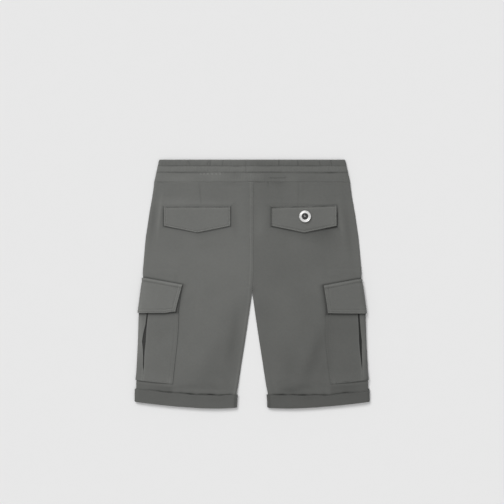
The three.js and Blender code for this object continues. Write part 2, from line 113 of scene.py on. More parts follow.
# Creases of the back layer: x, y, half length, half width, turn of its length from the garment's length,
# how far its line bows, lift, how much painted shade its bottom gets
CREASES = (
    # Below the waistband
    (-119, 172, 22, 3.4, 84, 0, 0.55, 0),
    (-32, 162, 14, 4.0, 80, 1, -0.6, 0.04),
    (-29, 170, 5, 3.0, 8, 0, -0.6, 0.06),
    (26, 166, 10, 1.6, 4, 0, -0.6, 0.14),
    (43, 165.5, 13, 1.3, 90, 0, -0.4, 0.12),
    (12, 166.6, 9, 1.2, 90, 0, -0.3, 0.12),
    (-148, 165, 12, 1.4, 80, 0, -0.3, 0.05),
    # Darts
    (-85.5, 149, 21, 0.9, 6, 0, -0.5, 0.2),
    (76, 149, 21, 0.9, -2, 0, -0.5, 0.16),
    # Over and beside the back flaps
    (-90, 131.5, 56, 2.0, 90, 0, 0.35, 0),
    (86, 132.5, 54, 2.0, 88, 0, 0.35, 0),
    (-152, 108, 28, 3.2, -6, 0, 0.9, 0),
    (-162, 104, 34, 4.0, -6, 0, -0.4, 0.08),
    (146, 108, 28, 3.4, 6, 0, 0.7, 0),
    (156, 100, 40, 4.5, 6, 0, -0.4, 0.06),
    # Hollows under the back flaps' lower edges
    (-112, 82, 30, 6, 70, 0, -0.5, 0),
    (-66, 82, 26, 6, -70, 0, -0.5, 0.03),
    (112, 80, 32, 8, -72, 0, -0.9, 0.06),
    (62, 82, 26, 6, 70, 0, -0.6, 0.04),
    # Legs
    (-80, 0, 52, 16, 8, 6, 0.5, 0),
    (-30, -86, 44, 7, -10, 4, -0.8, 0.05),
    (-58, -100, 52, 12, -10, 0, 0.5, 0),
    (101, -124, 46, 9, -21, 4, -0.6, 0.07),
    (34, -90, 46, 8, 18, -4, -0.4, 0),
    (62, -60, 40, 12, 14, 0, 0.4, 0),
    # Over the cuffs
    (-92, -172, 50, 4, 92, 3, -0.7, 0.02),
    (64, -176, 20, 4, 88, -3, -0.8, 0.08),
    (140, -174, 30, 4, 84, 0, -0.6, 0.04),
    (-66, -168, 15, 3.2, 62, 2, -0.5, 0.05),
    (-42, -160, 17, 3.6, 36, 0, -0.5, 0.04),
    (-106, -171, 12, 3.0, 101, 0, -0.5, 0.04),
    (40, -168, 12, 3.2, -38, 0, -0.6, 0.07),
    (57, -159, 13, 3.4, -68, 0, -0.4, 0.04),
    (86, -171, 15, 3.2, 78, 1, -0.5, 0.05),
    (110, -165, 12, 3.0, 58, 0, -0.4, 0.04),
)

# Painted light and shade: where the cloth is painted lighter or darker to stand in for how the light falls
# on its folds, ridges and slopes: x, y, half length, half width, turn, share
PAINTED_LIGHT_AND_SHADE = (
    (-122, 172, 22, 7, 90, 0.10),
    (-61, 175, 12, 6, 90, 0.09),
    (5, 177, 15, 7, 90, 0.09),
    (65, 171, 12, 9, 90, 0.09),
    (-128, 135, 24, 8, 90, 0.12),
    (-70, 133, 26, 5, 90, 0.04),
    (42, 163, 12, 6, 90, -0.06),
    (82, 149, 9, 5, 0, -0.06),
    (-152, 112, 30, 2.6, -6, 0.16),
    (-163, 105, 34, 5.0, -6, -0.07),
    (145, 106, 30, 2.6, 6, 0.07),
    (159, 78, 74, 6.0, 6, -0.07),
    (114, 76, 26, 15, 80, -0.13),
    (-77, 82, 19, 8, 90, -0.05),
    (-28.5, 105, 24, 5, 0, -0.08),
    (9, 154, 18, 7, 0, 0.03),
    (11, 98, 28, 10, 0, 0.11),
    (-6, 128, 60, 7, 0, -0.06),
    (-58, 35, 48, 32, 90, 0.04),
    (47, 23, 30, 28, 0, -0.05),
    (-87, -38, 32, 24, 0, 0.04),
    (-30, -87, 55, 9, -9, -0.09),
    (-73, -151, 46, 14, 90, -0.07),
    (0, -9, 6, 5, 0, -0.15),
    (47, -51, 46, 26, 0, 0.05),
    (104, -122, 52, 13, -21, -0.16),
    (39, -167, 8, 5, 0, 0.10),
    (63, -175, 16, 7, 90, -0.12),
    (166, -173, 22, 8, 90, -0.10),
    (-136, -160, 6, 4, 0, 0.18),
    (-184, -86, 34, 4.5, 3, 0.30),
    (-189, -92, 26, 2.2, 2, 0.35),
    (-181, -66, 16, 4.0, 6, 0.16),
    (184, -100, 46, 4.5, -3, 0.26),
    (181, -58, 14, 4.0, -3, 0.1),
    (-176, -16, 26, 9, 3, 0.05),
    # The legs' inner sides, and the cloth that sinks towards the cuffs
    (-33, -120, 52, 20, -8, -0.13),
    (-6, -28, 16, 6, -6, -0.07),
    (-80, -171, 52, 8, 90, -0.10),
    (78, -166, 50, 10, 90, -0.09),
    (118, -148, 16, 8, -10, -0.08),
    (64, -193, 34, 9, 90, 0.07),
    (-66, -126, 34, 14, -20, -0.10),
    (-84, -161, 40, 10, 90, -0.08),
    (62, -130, 30, 16, 0, -0.08),
    (119, -136, 22, 8, -14, -0.05),
    (133, -160, 5, 4, 0, 0.12),
    # The seat
    (122, 42, 34, 24, 80, -0.06),
    (126, 84, 14, 8, 80, -0.08),
    (149, 92, 14, 4, 5, 0.07),
    (66, 149, 20, 13, 80, 0.08),
    (-75, 64, 16, 9, 90, -0.08),
    # The waistband
    (-27, 180, 9, 6, 90, -0.10),
    (-84, 186, 18, 4, 90, -0.06),
    (-60, 201, 24, 4, 90, 0.08),
    (50, 201, 34, 4, 90, 0.09),
    # The strips outside the slits
    (-186, -44, 12, 4, 3, 0.12),
    (179, -50, 12, 6, 0, 0.09),
    (180, -84, 14, 4, -3, 0.08),
)

# Painted light and shade for each piece, on the left and right: the same cloth painted lighter or darker
# for how the light falls on that piece
PAINTED_TONE = {
    "panel": (1.0, 1.0),
    "leg": (0.955, 0.93),
    "pocket": (0.965, 0.855),
    "cargo_flap": (1.09, 1.01),
    "back_flap": (1.05, 1.11),
    "cuff": (0.76, 0.73),
    "band_top": (0.90, 0.90),
    "band_middle": (1.07, 1.07),
    "band_low": (1.04, 1.0),
}

# Air between the layers, and how it closes at the crotch
AIR = 0.9
LEAST_AIR = 0.35
MOST_AIR = 3.5
BAND_AIR = 2.3
BAND_AIR_REACH = 34
CROTCH_CLOSED = 26
CRUMPLE_SEED = 11
CRUMPLE_LENGTHS = (16, 90, 14)  # shortest and longest wave, and how many
CRUMPLE_FULL = 60

# The centre seam's shift above the crotch, and the hem's rise to the inner legs
SEAM_SHIFT = 2.2
SEAM_RUN_IN = 40
HEM_LOW = 0.2
HEM_RISE = 15.4
HEM_POWER = 1.6
HEM_NONE = -60
HEM_FULL = -175

# Cargo pockets and the pleat that shows as a slit just inside the side fold. On each side: where the back
# edge starts, how far it tapers and how far it bows
POCKET_TOP = -5.0
POCKET_BOTTOM = -168.0
POCKET_BACK = {-1: (64.8, 4.4, 1.8), 1: (62.4, -0.2, 4.4)}
POCKET_FRONT = -40.0
POCKET_CLOTH = 0.7
POCKET_STEP = 0.85
PLEAT_INSIDE = 24.6
PLEAT_OUTSIDE = 6.2
PLEAT_RAMP = 30.0
PLEAT_TURN = POCKET_STEP / 2
PLEAT_RISE = 2 * POCKET_STEP
FOLD_RISE_START = -2.5

# The slit on each side: level, reach of its middle, width
SLITS = {
    -1: np.array((
        (-151, 11.4, 0.3),
        (-142, 10.9, 2.0),
        (-125, 10.5, 2.2),
        (-112, 10.2, 3.2),
        (-96, 9.7, 6.3),
        (-84, 10.4, 5.2),
        (-74, 11.4, 3.8),
        (-66, 12.6, 2.6),
        (-50, 13.8, 2.4),
        (10, 14.5, 2.0),
    )),
    1: np.array((
        (-150, 9.0, 0.3),
        (-138, 9.1, 1.8),
        (-116, 9.5, 3.4),
        (-96, 9.4, 4.8),
        (-75, 10.1, 3.2),
        (-50, 11.0, 3.0),
        (10, 11.5, 2.2),
    )),
}

# Cargo flaps. On each side: top at the side fold, bottom, rise of the bottom to its corners, and the reach of
# the back edge at the top and bottom
FLAP_FALL = 11.0
FLAP_FALL_REACH = 60.0
FLAP_FALL_ROUND = 3.0
FLAP_SIDES = {-1: (10.6, -47.5, 2.4, (65.3, 59.7)), 1: (8.8, -48.4, 0.5, (62.6, 61.5))}
FLAP_FRONT = (-43.3, -37.7)
FLAP_MIDDLE = 8.0
FLAP_CORNER = (30.0, 54.0)

# How the cloth steps up onto what lies under it
STEP_WAY = 12.0
STEP_BRIDGE = 4.0
STEP_CUFF_BRIDGE = 24.0
STEP_POCKET = 42.0
STEP_FLAP = 45.0
STEP_ABOVE = 14.0
STEP_FLAP_END = -49.5
STEP_POCKET_END = -169.5
STEP_CUFF = -180.0

# Cuffs
CUFF_TURN = 1.6
CUFF_TUCK = 0.75
CUFF_LOOSE = 1.5
CUFF_LOOSE_FROM = (10.0, 40.0)
CUFF_LOOSE_INNER = 20.0
CUFF_SEAM = 4.0

# Back flaps: inner and outer edge, top at the inner edge, rise of the top to the outer edge
BACK_FLAPS = {-1: (35.8, 144.6, 127.6, -0.6), 1: (31.7, 138.8, 126.4, 2.8)}
BACK_FLAP_CORNER = 95.3
BACK_FLAP_TIP = 84.1
BACK_FLAP_KICK = {-1: 0.35, 1: 0.7}

# Waistband
BAND_HALF = 2.9
BAND_FOLD_WIDE = 7.0
BAND_SIDE = 160.9
BAND_TOP_SIDE = 152.7
BAND_ROWS = np.array([BAND_Y, 183.2, 193.7, WAIST_Y])
BAND_SWELL = 0.75
BAND_GATHERS = 21
BAND_LEAST = 0.45

# Button
BUTTON_X = 86.7
BUTTON_Y = 110.9
BUTTON_CLEAR = 0.45


def mix(a, b, t):
    """The value a share t of the way from a to b."""
    return a + (b - a) * t


def ease(start, end, value):
    """Rises smoothly from 0 at start to 1 at end, which may be the lower one."""
    t = np.clip((value - start) / (end - start), 0, 1)
    return t * t * (3 - 2 * t)


def bump(value, middle, wide):
    """A bell of height 1 at middle, 1/e at a distance of wide."""
    return np.exp(-(((value - middle) / wide) ** 2))


def outline(column, level):
    """A column of the outline as a smooth curve over its levels: cubic pieces, each with the chords of its
    neighbours as the slopes at its ends."""
    levels, values = OUTLINE[:, LEVEL], OUTLINE[:, column]
    last = len(levels) - 1
    i = np.clip(np.searchsorted(-levels, -level, side="left") - 1, 0, last - 1)
    before, after = np.maximum(i - 1, 0), np.minimum(i + 2, last)
    span = levels[i + 1] - levels[i]
    t = np.clip((level - levels[i]) / span, 0, 1)
    slope_a = (values[i + 1] - values[before]) / (levels[i + 1] - levels[before]) * span
    slope_b = (values[after] - values[i]) / (levels[after] - levels[i]) * span
    ends = (2 * t**3 - 3 * t**2 + 1) * values[i] + (3 * t**2 - 2 * t**3) * values[i + 1]
    return ends + (t**3 - 2 * t**2 + t) * slope_a + (t**3 - t**2) * slope_b


def underlay(inset, level, way, cuff_way):
    """How thick what lies under the front panel is: pocket, flap and cuff, each as far as it is there."""
    pocket_side = ease(STEP_POCKET + way, STEP_POCKET, inset)
    flap_side = ease(STEP_FLAP + way, STEP_FLAP, inset)
    top_end = ease(STEP_ABOVE + way, STEP_ABOVE, level)
    pocket_ends = top_end * ease(STEP_CUFF, STEP_POCKET_END, level)
    flap_ends = top_end * ease(STEP_FLAP_END - way, STEP_FLAP_END, level)
    cuff = ease(STEP_POCKET_END + cuff_way, STEP_CUFF, level)
    return (
        (CLOTH + GAP) * pocket_side * pocket_ends
        + (FLAP_CLOTH + GAP) * flap_side * flap_ends
        + (CUFF_CLOTH + GAP) * cuff
    )


def bell(x, y, middle_x, middle_y, long, wide, turn, bow=0):
    """A bell of height 1 at its middle and 1/e at long along its turned line and at wide across it. The line
    bows to one side away from its middle."""
    c, s = math.cos(math.radians(turn)), math.sin(math.radians(turn))
    along = ((y - middle_y) * c - (x - middle_x) * s) / long
    across = ((x - middle_x) * c + (y - middle_y) * s + bow * along**2) / wide
    return np.exp(-(along**2) - across**2)


def creased(x, y, depth):
    """Lift of the back layer by its creases, and the painted shade in them: a bell for each."""
    lift = np.zeros(np.broadcast(x, y).shape)
    shade = np.zeros_like(lift)
    for *place, up, dark in CREASES:
        here = bell(x, y, *place)
        lift += depth * up * here
        shade += dark * here
    return lift, shade


def fade_and_painted_light(x, y):
    """Painted light and shade at a point, as a share of the cloth's usual colour: 1 and a bell for each
    patch.
    """
    return sum((share * bell(x, y, *place) for *place, share in PAINTED_LIGHT_AND_SHADE), 1.0)


def crumple(x, y, size):
    """Slight unevenness of washed cloth: a sum of sine waves in seeded directions, longer ones higher."""
    draw = np.random.default_rng(CRUMPLE_SEED)
    total = np.zeros(np.broadcast(x, y).shape)
    for length in np.geomspace(*CRUMPLE_LENGTHS):
        angle, phase = draw.uniform(0, 2 * np.pi, 2)
        wave = 2 * np.pi / length
        bent = x * math.cos(angle) + y * math.sin(angle) + 5 * np.sin((x - y) / 37 + phase)
        total += (length / CRUMPLE_FULL) * np.sin(wave * bent + phase)
    return size * total


def limited(value, least, most, soft=0.2):
    """A value that bends smoothly towards a least and a most one: twice the soft minimum."""
    value = most - soft * np.logaddexp(0, (most - value) / soft)
    return least + soft * np.logaddexp(0, (value - least) / soft)


def air(x, y):
    """Air between the two layers: the CAD's swellings, and the finer creases."""
    look = bpy.context.scene.shorts_cloth
    lift = AIR + BAND_AIR * ease(BAND_Y - BAND_AIR_REACH, BAND_Y, y)
    for *place, up in SWELLS:
        lift = lift + up * bell(x, y, *place)
    lift = lift + creased(x, y, look.crease_depth)[0] + crumple(x, y, look.crumple / MM)
    parted = ease(0, CROTCH_CLOSED, np.hypot(x, y - CROTCH_Y))
    return mix(GAP, limited(lift, LEAST_AIR, MOST_AIR), parted)


def stack(x, inset, level):
    """The lowest and highest outer face of the two layers at a point of the garment."""
    low = underlay(inset, level, STEP_WAY, 0)
    bridged = underlay(inset, level, STEP_WAY * STEP_BRIDGE, STEP_CUFF_BRIDGE)
    between = limited(air(x, level) + bridged - low, GAP, MOST_AIR, 0.1)
    return low, low + 2 * CLOTH + between


def inner_edge(side, layer, level):
    """Half of the space between the legs, and the centre back seam's shift to the right above the crotch."""
    shift = SEAM_SHIFT * ease(CROTCH_Y, CROTCH_Y + SEAM_RUN_IN, level)
    return np.maximum(outline(INNER, level), 0) + np.where(layer > 0, side * shift, 0) + SEAM_GAP / 2


def inner_curl(level):
    """How far the inner leg's edge is folded: not at all above the crotch, fully a little below it."""
    return ease(CROTCH_Y + 2, CROTCH_Y - 20, level)


def breadth(side, layer, level):
    """The length of cloth from the side fold to the seam at the inner edge."""
    flat = outline(SIDE, level) - inner_edge(side, layer, level)
    return flat + (FOLD_ARC - FOLD_WIDE) * (1 + inner_curl(level))


def cloth(side, reach, level, out):
    """Points of cloth in millimetres, and the height of the seam between the layers under them.

    Across, the cloth goes a quarter turn round the side fold, lies flat, and below the crotch goes a quarter
    turn round the inner fold. Its height is the seam's, plus or minus half of the stack times the turn so
    far, and out is added along the direction that the cloth faces."""
    reach, level, out = np.broadcast_arrays(reach, level, out)
    layer = np.where(reach < 0, -1.0, 1.0)
    far = np.abs(reach)
    wide = outline(SIDE, level)
    inner = inner_edge(side, layer, level)
    curl = inner_curl(level)
    left = np.maximum(breadth(side, layer, level) - far, 0)
    bend = np.minimum(far / FOLD_ARC, 1) * (np.pi / 2)
    inner_bend = np.minimum(left / FOLD_ARC, 1) * (np.pi / 2)
    x = wide - FOLD_WIDE * (1 - np.cos(bend)) - np.maximum(far - FOLD_ARC, 0)
    folded = mix(inner + left, inner + FOLD_WIDE * (1 - np.cos(inner_bend)), curl)
    x = np.where(left < FOLD_ARC, folded, x)
    low, high = stack(side * x, wide - x, level)
    seam = (low + high) / 2
    rise = np.sin(bend) * (1 - curl * (1 - np.sin(inner_bend)))
    away = np.stack([np.cos(bend) - curl * np.cos(inner_bend), rise], -1)
    away /= np.linalg.norm(away, axis=-1, keepdims=True)
    share = np.clip((x - inner) / (wide - inner), 0, 1)
    hem = HEM_RISE * np.abs(share - HEM_LOW) ** HEM_POWER * ease(HEM_NONE, HEM_FULL, level)
    z = seam + layer * (((high - low) / 2) * rise + out * away[..., 1])
    return np.stack([side * (x + out * away[..., 0]), level + hem, z], -1), seam


def cloth_point(side, reach, level, out):
    """Points of cloth without the seam's height."""
    return cloth(side, reach, level, out)[0]


def reach_at(x, level):
    """The reach of a point of the back layer that lies flat."""
    return outline(SIDE, level) - np.abs(x) + FOLD_ARC - FOLD_WIDE


# Grid lines, and turned and topstitched edges


def graded(*stretches):
    """Values over stretches of (from, to, step), each stretch even."""
    counts = [max(int(round(abs(b - a) / step)), 1) for a, b, step in stretches]
    parts = [np.linspace(a, b, n, endpoint=False) for (a, b, _), n in zip(stretches, counts)]
    return np.concatenate([*parts, [stretches[-1][1]]])


def edged(near, whole, count):
    """Distances across a piece: the near ones in from both of its edges, and even ones between them."""
    middle = mix(near[-1], whole - near[-1], np.linspace(0, 1, count)[1:-1])
    return np.concatenate([near, middle, whole - near[::-1]])


def turned(distance, roll=1.1, least=0.25):
    """Share of the wall's thickness at a distance in from a turned edge: a quarter circle of radius roll."""
    t = 1 - np.clip(distance / roll, 0, 1)
    return np.maximum(np.sqrt(1 - t * t), least)


def topstitched(distance, rows, puff=0.28, dip=0.3):
    """Lift of cloth beside rows of topstitching: a puff between the edge and each row, a dip on the row."""
    lift, before = 0, 0.0
    for row in rows:
        lift = lift + puff * bump(distance, (before + row) / 2, (row - before) * 0.32)
        lift = lift - dip * bump(distance, row, 0.75)
        before = row
    return lift + 0.5 * puff * bump(distance, before + 2.2, 1.2)


def puckers(along, distance, size=0.16, length=7.5, fade=4.5, seed=0.0):
    """Ripples that stitching draws across an edge: uneven sine waves along it that fade away from it."""
    drift = 1.3 * np.sin(along / 17 + seed) + 0.9 * np.sin(along / 7.3 + 2 * seed)
    wave = np.sin(2 * np.pi * along / length + drift)
    uneven = 0.6 + 0.4 * np.sin(along / 23 + 3 * seed)
    return size * wave * uneven * np.exp(-((distance / fade) ** 2))


# Meshes


def grid_faces(index):
    """Quads between the numbers of a grid of points."""
    return np.stack([index[:-1, :-1], index[1:, :-1], index[1:, 1:], index[:-1, 1:]], -1).reshape(-1, 4)


def wall_faces(n, m):
    """Quads of a closed wall on a grid of n by m points: the outer face, the inner face turned round, and a
    strip along each edge. The inner points' numbers follow the outer ones'."""
    index = np.arange(n * m).reshape(n, m)
    face = grid_faces(index)
    strips = []
    for line in (index[:, 0], index[-1, :], index[::-1, -1], index[0, ::-1]):
        p, q = line[:-1], line[1:]
        strips.append(np.stack([q, p, p + n * m, q + n * m], -1))
    return np.concatenate([face, face[:, ::-1] + n * m, *strips])


def ring_faces(n, m):
    """Quads of a grid of n by m points that closes in both directions, and the same quads' numbers in a grid
    with one more row and column, for a map that doesn't jump back at the joins."""
    i, j = (a.ravel() for a in np.meshgrid(np.arange(n), np.arange(m), indexing="ij"))
    after_i, after_j, k = (i + 1) % n, (j + 1) % m, m + 1
    closed = np.stack([i * m + j, after_i * m + j, after_i * m + after_j, i * m + after_j], -1)
    mapped = np.stack([i * k + j, (i + 1) * k + j, (i + 1) * k + j + 1, i * k + j + 1], -1)
    return closed, mapped


def volume(points, faces):
    """Signed volume inside closed faces: the sum of the tetrahedra from the origin to each triangle."""
    total = 0.0
    for k in range(1, faces.shape[1] - 1):
        a, b, c = points[faces[:, 0]], points[faces[:, k]], points[faces[:, k + 1]]
        total += np.einsum("ij,ij->", a, np.cross(b, c)) / 6
    return total


def placed(name, data):
    """A new object of a mesh, lamp or camera in the scene."""
    item = bpy.data.objects.new(name, data)
    bpy.context.scene.collection.objects.link(item)
    return item


def piece_object(name, points, faces, corners=None, fields=None, material=None):
    """A piece's object at the origin: points in millimetres, none below the floor, faces turned outwards,
    corners as its map in metres, and fields as named values on its points. It rides on the one body."""
    if not np.isfinite(points).all():
        raise ValueError(f"{name} has points that are not numbers")
    points[:, 2] = np.maximum(points[:, 2], 0)
    if volume(points, faces) < 0:
        faces = faces[:, ::-1]
        corners = None if corners is None else corners[:, ::-1]
    count, sides = faces.shape
    mesh = bpy.data.meshes.new(name)
    mesh.vertices.add(len(points))
    mesh.vertices.foreach_set("co", (points * MM).astype(np.float32).ravel())
    mesh.loops.add(count * sides)
    mesh.loops.foreach_set("vertex_index", faces.astype(np.int32).ravel())
    mesh.polygons.add(count)
    mesh.polygons.foreach_set("loop_start", np.arange(0, count * sides, sides, dtype=np.int32))
    mesh.polygons.foreach_set("use_smooth", np.ones(count, bool))
    mesh.update(calc_edges=True)
    if corners is not None:
        layer = mesh.uv_layers.new(name="cloth_map")
        layer.data.foreach_set("uv", (corners * MM).astype(np.float32).ravel())
    for field, values in (fields or {}).items():
        attribute = mesh.attributes.new(field, "FLOAT", "POINT")
        attribute.data.foreach_set("value", values.astype(np.float32).ravel())
    mesh.validate()
    piece = placed(name, mesh)
    if material:
        mesh.materials.append(material)
    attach(piece, "root")
    return piece


def cloth_fields(points, side, wear_and_painted_highlight, painted_shade, painted_tone):
    """The named values that the cloth's colour reads, on the points of a piece."""
    # Painted light and shade over broad patches, times each piece's painted tone
    shade = fade_and_painted_light(points[:, 0], points[:, 1]) * painted_tone
    return {"wear_and_painted_highlight": wear_and_painted_highlight, "painted_shade": painted_shade, "shade": shade, "tone": tone(points, side)}


def wall_object(name, outer, inner, across, along, side, wear_and_painted_highlight=0.0, painted_shade=0.0, painted_tone=1.0):
    """A wall of cloth from the grids of its two faces, its map, its lighter edges (partly wear and partly
    painted highlight), its painted shade, and its painted tone.
    """
    n, m = outer.shape[:2]
    faces = wall_faces(n, m)
    points = np.concatenate([outer.reshape(-1, 3), inner.reshape(-1, 3)])
    across, along, wear_and_painted_highlight, painted_shade, painted_tone = (
        np.tile(np.broadcast_to(a, (n, m)).ravel(), 2) for a in (across, along, wear_and_painted_highlight, painted_shade, painted_tone)
    )
    place = np.stack([across, along], -1)
    fields = cloth_fields(points, side, wear_and_painted_highlight, painted_shade, painted_tone)
    return piece_object(name, points, faces, place[faces], fields, cloth_material())


def ring_object(name, sections, across, along, side, wear_and_painted_highlight=0.0, painted_shade=0.0, painted_tone=1.0):
    """A closed ring of cloth from its cross-sections. The map's last row and column repeat the first ones'
    places further on."""
    n, m = sections.shape[:2]
    faces, mapped = ring_faces(n, m)
    place = np.stack([np.broadcast_to(a, (n + 1, m + 1)).ravel() for a in (across, along)], -1)
    points = sections.reshape(-1, 3)
    wear_and_painted_highlight, painted_shade, painted_tone = (np.broadcast_to(a, (n, m)).ravel() for a in (wear_and_painted_highlight, painted_shade, painted_tone))
    fields = cloth_fields(points, side, wear_and_painted_highlight, painted_shade, painted_tone)
    return piece_object(name, points, faces, place[mapped], fields, cloth_material())


def tone(points, side):
    """1 on the wearer's left half, which is coloured lighter, and 0 on the right. The waistband, which has
    no side, changes over at the centre."""
    if side:
        return np.full(len(points), 1.0 if side < 0 else 0.0)
    return ease(12, -12, points[:, 0])


# Materials


class Graph:
    """Adds nodes to a tree, with settings, and with numbers or other nodes' outputs on their sockets."""

    def __init__(self, tree):
        self.tree = tree
        tree.nodes.clear()

    def add(self, kind, sockets=None, out=0, **settings):
        """A node's output. A socket's value is a number, a colour, a vector or another node's output."""
        node = self.tree.nodes.new("ShaderNode" + kind)
        for name, value in settings.items():
            setattr(node, name, value)
        for name, value in (sockets or {}).items():
            socket = node.inputs[name]
            if isinstance(value, bpy.types.NodeSocket):
                self.tree.links.new(value, socket)
            else:
                socket.default_value = (*value[:3], 1.0) if socket.type == "RGBA" else value
        return node.outputs[out]

    def math(self, operation, *values):
        """The result of a sum on one to three values."""
        return self.add("Math", dict(enumerate(values)), operation=operation)

    def scaled(self, value, times, plus):
        """A value times a number, plus another."""
        return self.math("MULTIPLY_ADD", value, times, plus)

    def field(self, name):
        """A named value of the mesh's points."""
        return self.add("Attribute", attribute_name=name, out="Fac")

    def blend(self, factor, first, second):
        """A colour that goes from the first to the second with the factor."""
        return self.add("Mix", {0: factor, 6: first, 7: second}, out=2, data_type="RGBA")

    def dimmed(self, colour, level):
        """A colour times a level."""
        return self.add("VectorMath", {0: colour, "Scale": level}, operation="SCALE")

    def noise(self, where, scale, detail=3.0, roughness=0.55):
        """Cloudy noise about a half."""
        sockets = {"Vector": where, "Scale": scale, "Detail": detail, "Roughness": roughness}
        return self.add("TexNoise", sockets)

    def finish(self, shader, kind="OutputMaterial"):
        """Ends the tree with a shader."""
        node = self.tree.nodes.new("ShaderNode" + kind)
        self.tree.links.new(shader, node.inputs["Surface"])

    def surface(self, colour, roughness, normal=None, **more):
        """Ends the tree with a surface. Underscores in the names of more sockets stand for spaces."""
        sockets = {"Base Color": colour, "Roughness": roughness}
        if normal:
            sockets["Normal"] = normal
        sockets.update((name.replace("_", " "), value) for name, value in more.items())
        self.finish(self.add("BsdfPrincipled", sockets))


def new_material(name):
    """A material, and what adds nodes to its emptied tree."""
    material = bpy.data.materials.new(name)
    material.use_nodes = True
    return material, Graph(material.node_tree)


def cloth_material():
    """Washed twill: diagonal wales and yarns in the bump, and a colour that varies by yarn and by wash,
    with lighter edges that are partly wear and partly painted highlight, lighter on the left half,
    painted light and shade over broad patches and each piece, and painted shade in folds and under edges."""
    if "washed_twill" in bpy.data.materials:
        return bpy.data.materials["washed_twill"]
    look = bpy.context.scene.shorts_cloth
    material, g = new_material("washed_twill")
    place = g.add("UVMap", uv_map="cloth_map")
    slanted = g.add("Mapping", {"Vector": place, "Scale": (1.0, 0.62, 1.0)})
    wave = {"Vector": slanted, "Scale": 0.2 * math.pi / look.wale_pitch, "Distortion": 1.2, "Detail": 1.0}
    wales = g.add("TexWave", wave, bands_direction="DIAGONAL")
    yarn = g.noise(place, 1500.0, 2.0)
    stretched = g.add("Mapping", {"Vector": place, "Scale": (260.0, 900.0, 1.0)})
    slub = g.noise(stretched, 1.0, 2.0)
    melange = g.noise(place, 210.0, 4.0, 0.65)
    wash = g.noise(place, 22.0, 3.0)
    level = g.scaled(melange, 0.16, 0.92)
    for pattern, share in ((wash, 0.14), (slub, 0.10), (wales, 0.06)):
        level = g.scaled(pattern, share, g.math("SUBTRACT", level, share / 2))
    # Lighter edges, partly wear and partly painted highlight
    patchy = g.math("MULTIPLY", g.field("wear_and_painted_highlight"), g.scaled(melange, 0.8, 0.1))
    level = g.scaled(patchy, look.wear_and_painted_highlight, level)
    # Painted shade in creases, grooves and the slits, and painted shadow beside and under edges
    level = g.math("MULTIPLY", level, g.scaled(g.field("painted_shade"), -0.8, 1.0))
    # Painted light and shade over broad patches and for each piece
    level = g.math("MULTIPLY", level, g.field("shade"))
    both = g.blend(g.field("tone"), look.right_colour, look.left_colour)
    height = g.scaled(wales, 0.6, g.math("MULTIPLY", yarn, 0.5))
    height = g.scaled(melange, 0.6, height)
    normal = g.add("Bump", {"Height": height, "Strength": 0.5, "Distance": 0.00022})
    sheen = {"Specular_IOR_Level": 0.25, "Sheen_Weight": 0.12, "Sheen_Roughness": 0.5}
    g.surface(g.dimmed(both, level), g.scaled(melange, 0.16, 0.8), normal, **sheen)
    return material


def thread_material():
    """Spun thread: the twist as fine slanted bands, and a colour that varies from stitch to stitch."""
    if "spun_thread" in bpy.data.materials:
        return bpy.data.materials["spun_thread"]
    look = bpy.context.scene.shorts_stitching
    material, g = new_material("spun_thread")
    place = g.add("TexCoord", out="Object")
    wave = {"Vector": place, "Scale": 900.0, "Distortion": 2.0}
    twist = g.add("TexWave", wave, bands_direction="DIAGONAL")
    fade_and_painted_light = g.noise(place, 160.0, 2.0)
    level = g.scaled(fade_and_painted_light, 0.4, g.scaled(twist, 0.15, 0.72))
    light = [min(1.0, 1.25 * c) for c in look.thread_colour]
    colour = g.dimmed(g.blend(fade_and_painted_light, look.thread_colour, light), level)
    normal = g.add("Bump", {"Height": twist, "Strength": 0.4, "Distance": 0.0001})
    g.surface(colour, g.scaled(fade_and_painted_light, 0.2, 0.6), normal)
    return material


def metal_material(name, colour, roughness, scratch, bare=None):
    """Plated metal: fine scratches and dull patches in the roughness and bump, and uneven tarnish. Where bare
    is given, the plating is worn off above its first height, fully at its second, and its colour shows."""
    material, g = new_material(name)
    place = g.add("TexCoord", out="Object")
    brushed = g.add("Mapping", {"Vector": place, "Scale": (3000.0, 600.0, 600.0)})
    lines = g.noise(brushed, 1.0, 3.0)
    dull = g.noise(place, 420.0, 3.0)
    shade = g.blend(dull, colour, [c * 0.82 for c in colour])
    if bare:
        low, high, metal = bare
        height = g.add("SeparateXYZ", {0: place}, out="Z")
        worn = g.add("MapRange", {"Value": height, "From Min": low * MM, "From Max": high * MM})
        shade = g.blend(worn, shade, metal)
    normal = g.add("Bump", {"Height": lines, "Strength": scratch, "Distance": 0.00005})
    g.surface(shade, g.scaled(dull, 0.2, roughness - 0.1), normal, Metallic=1.0)
    return material


# Stitches


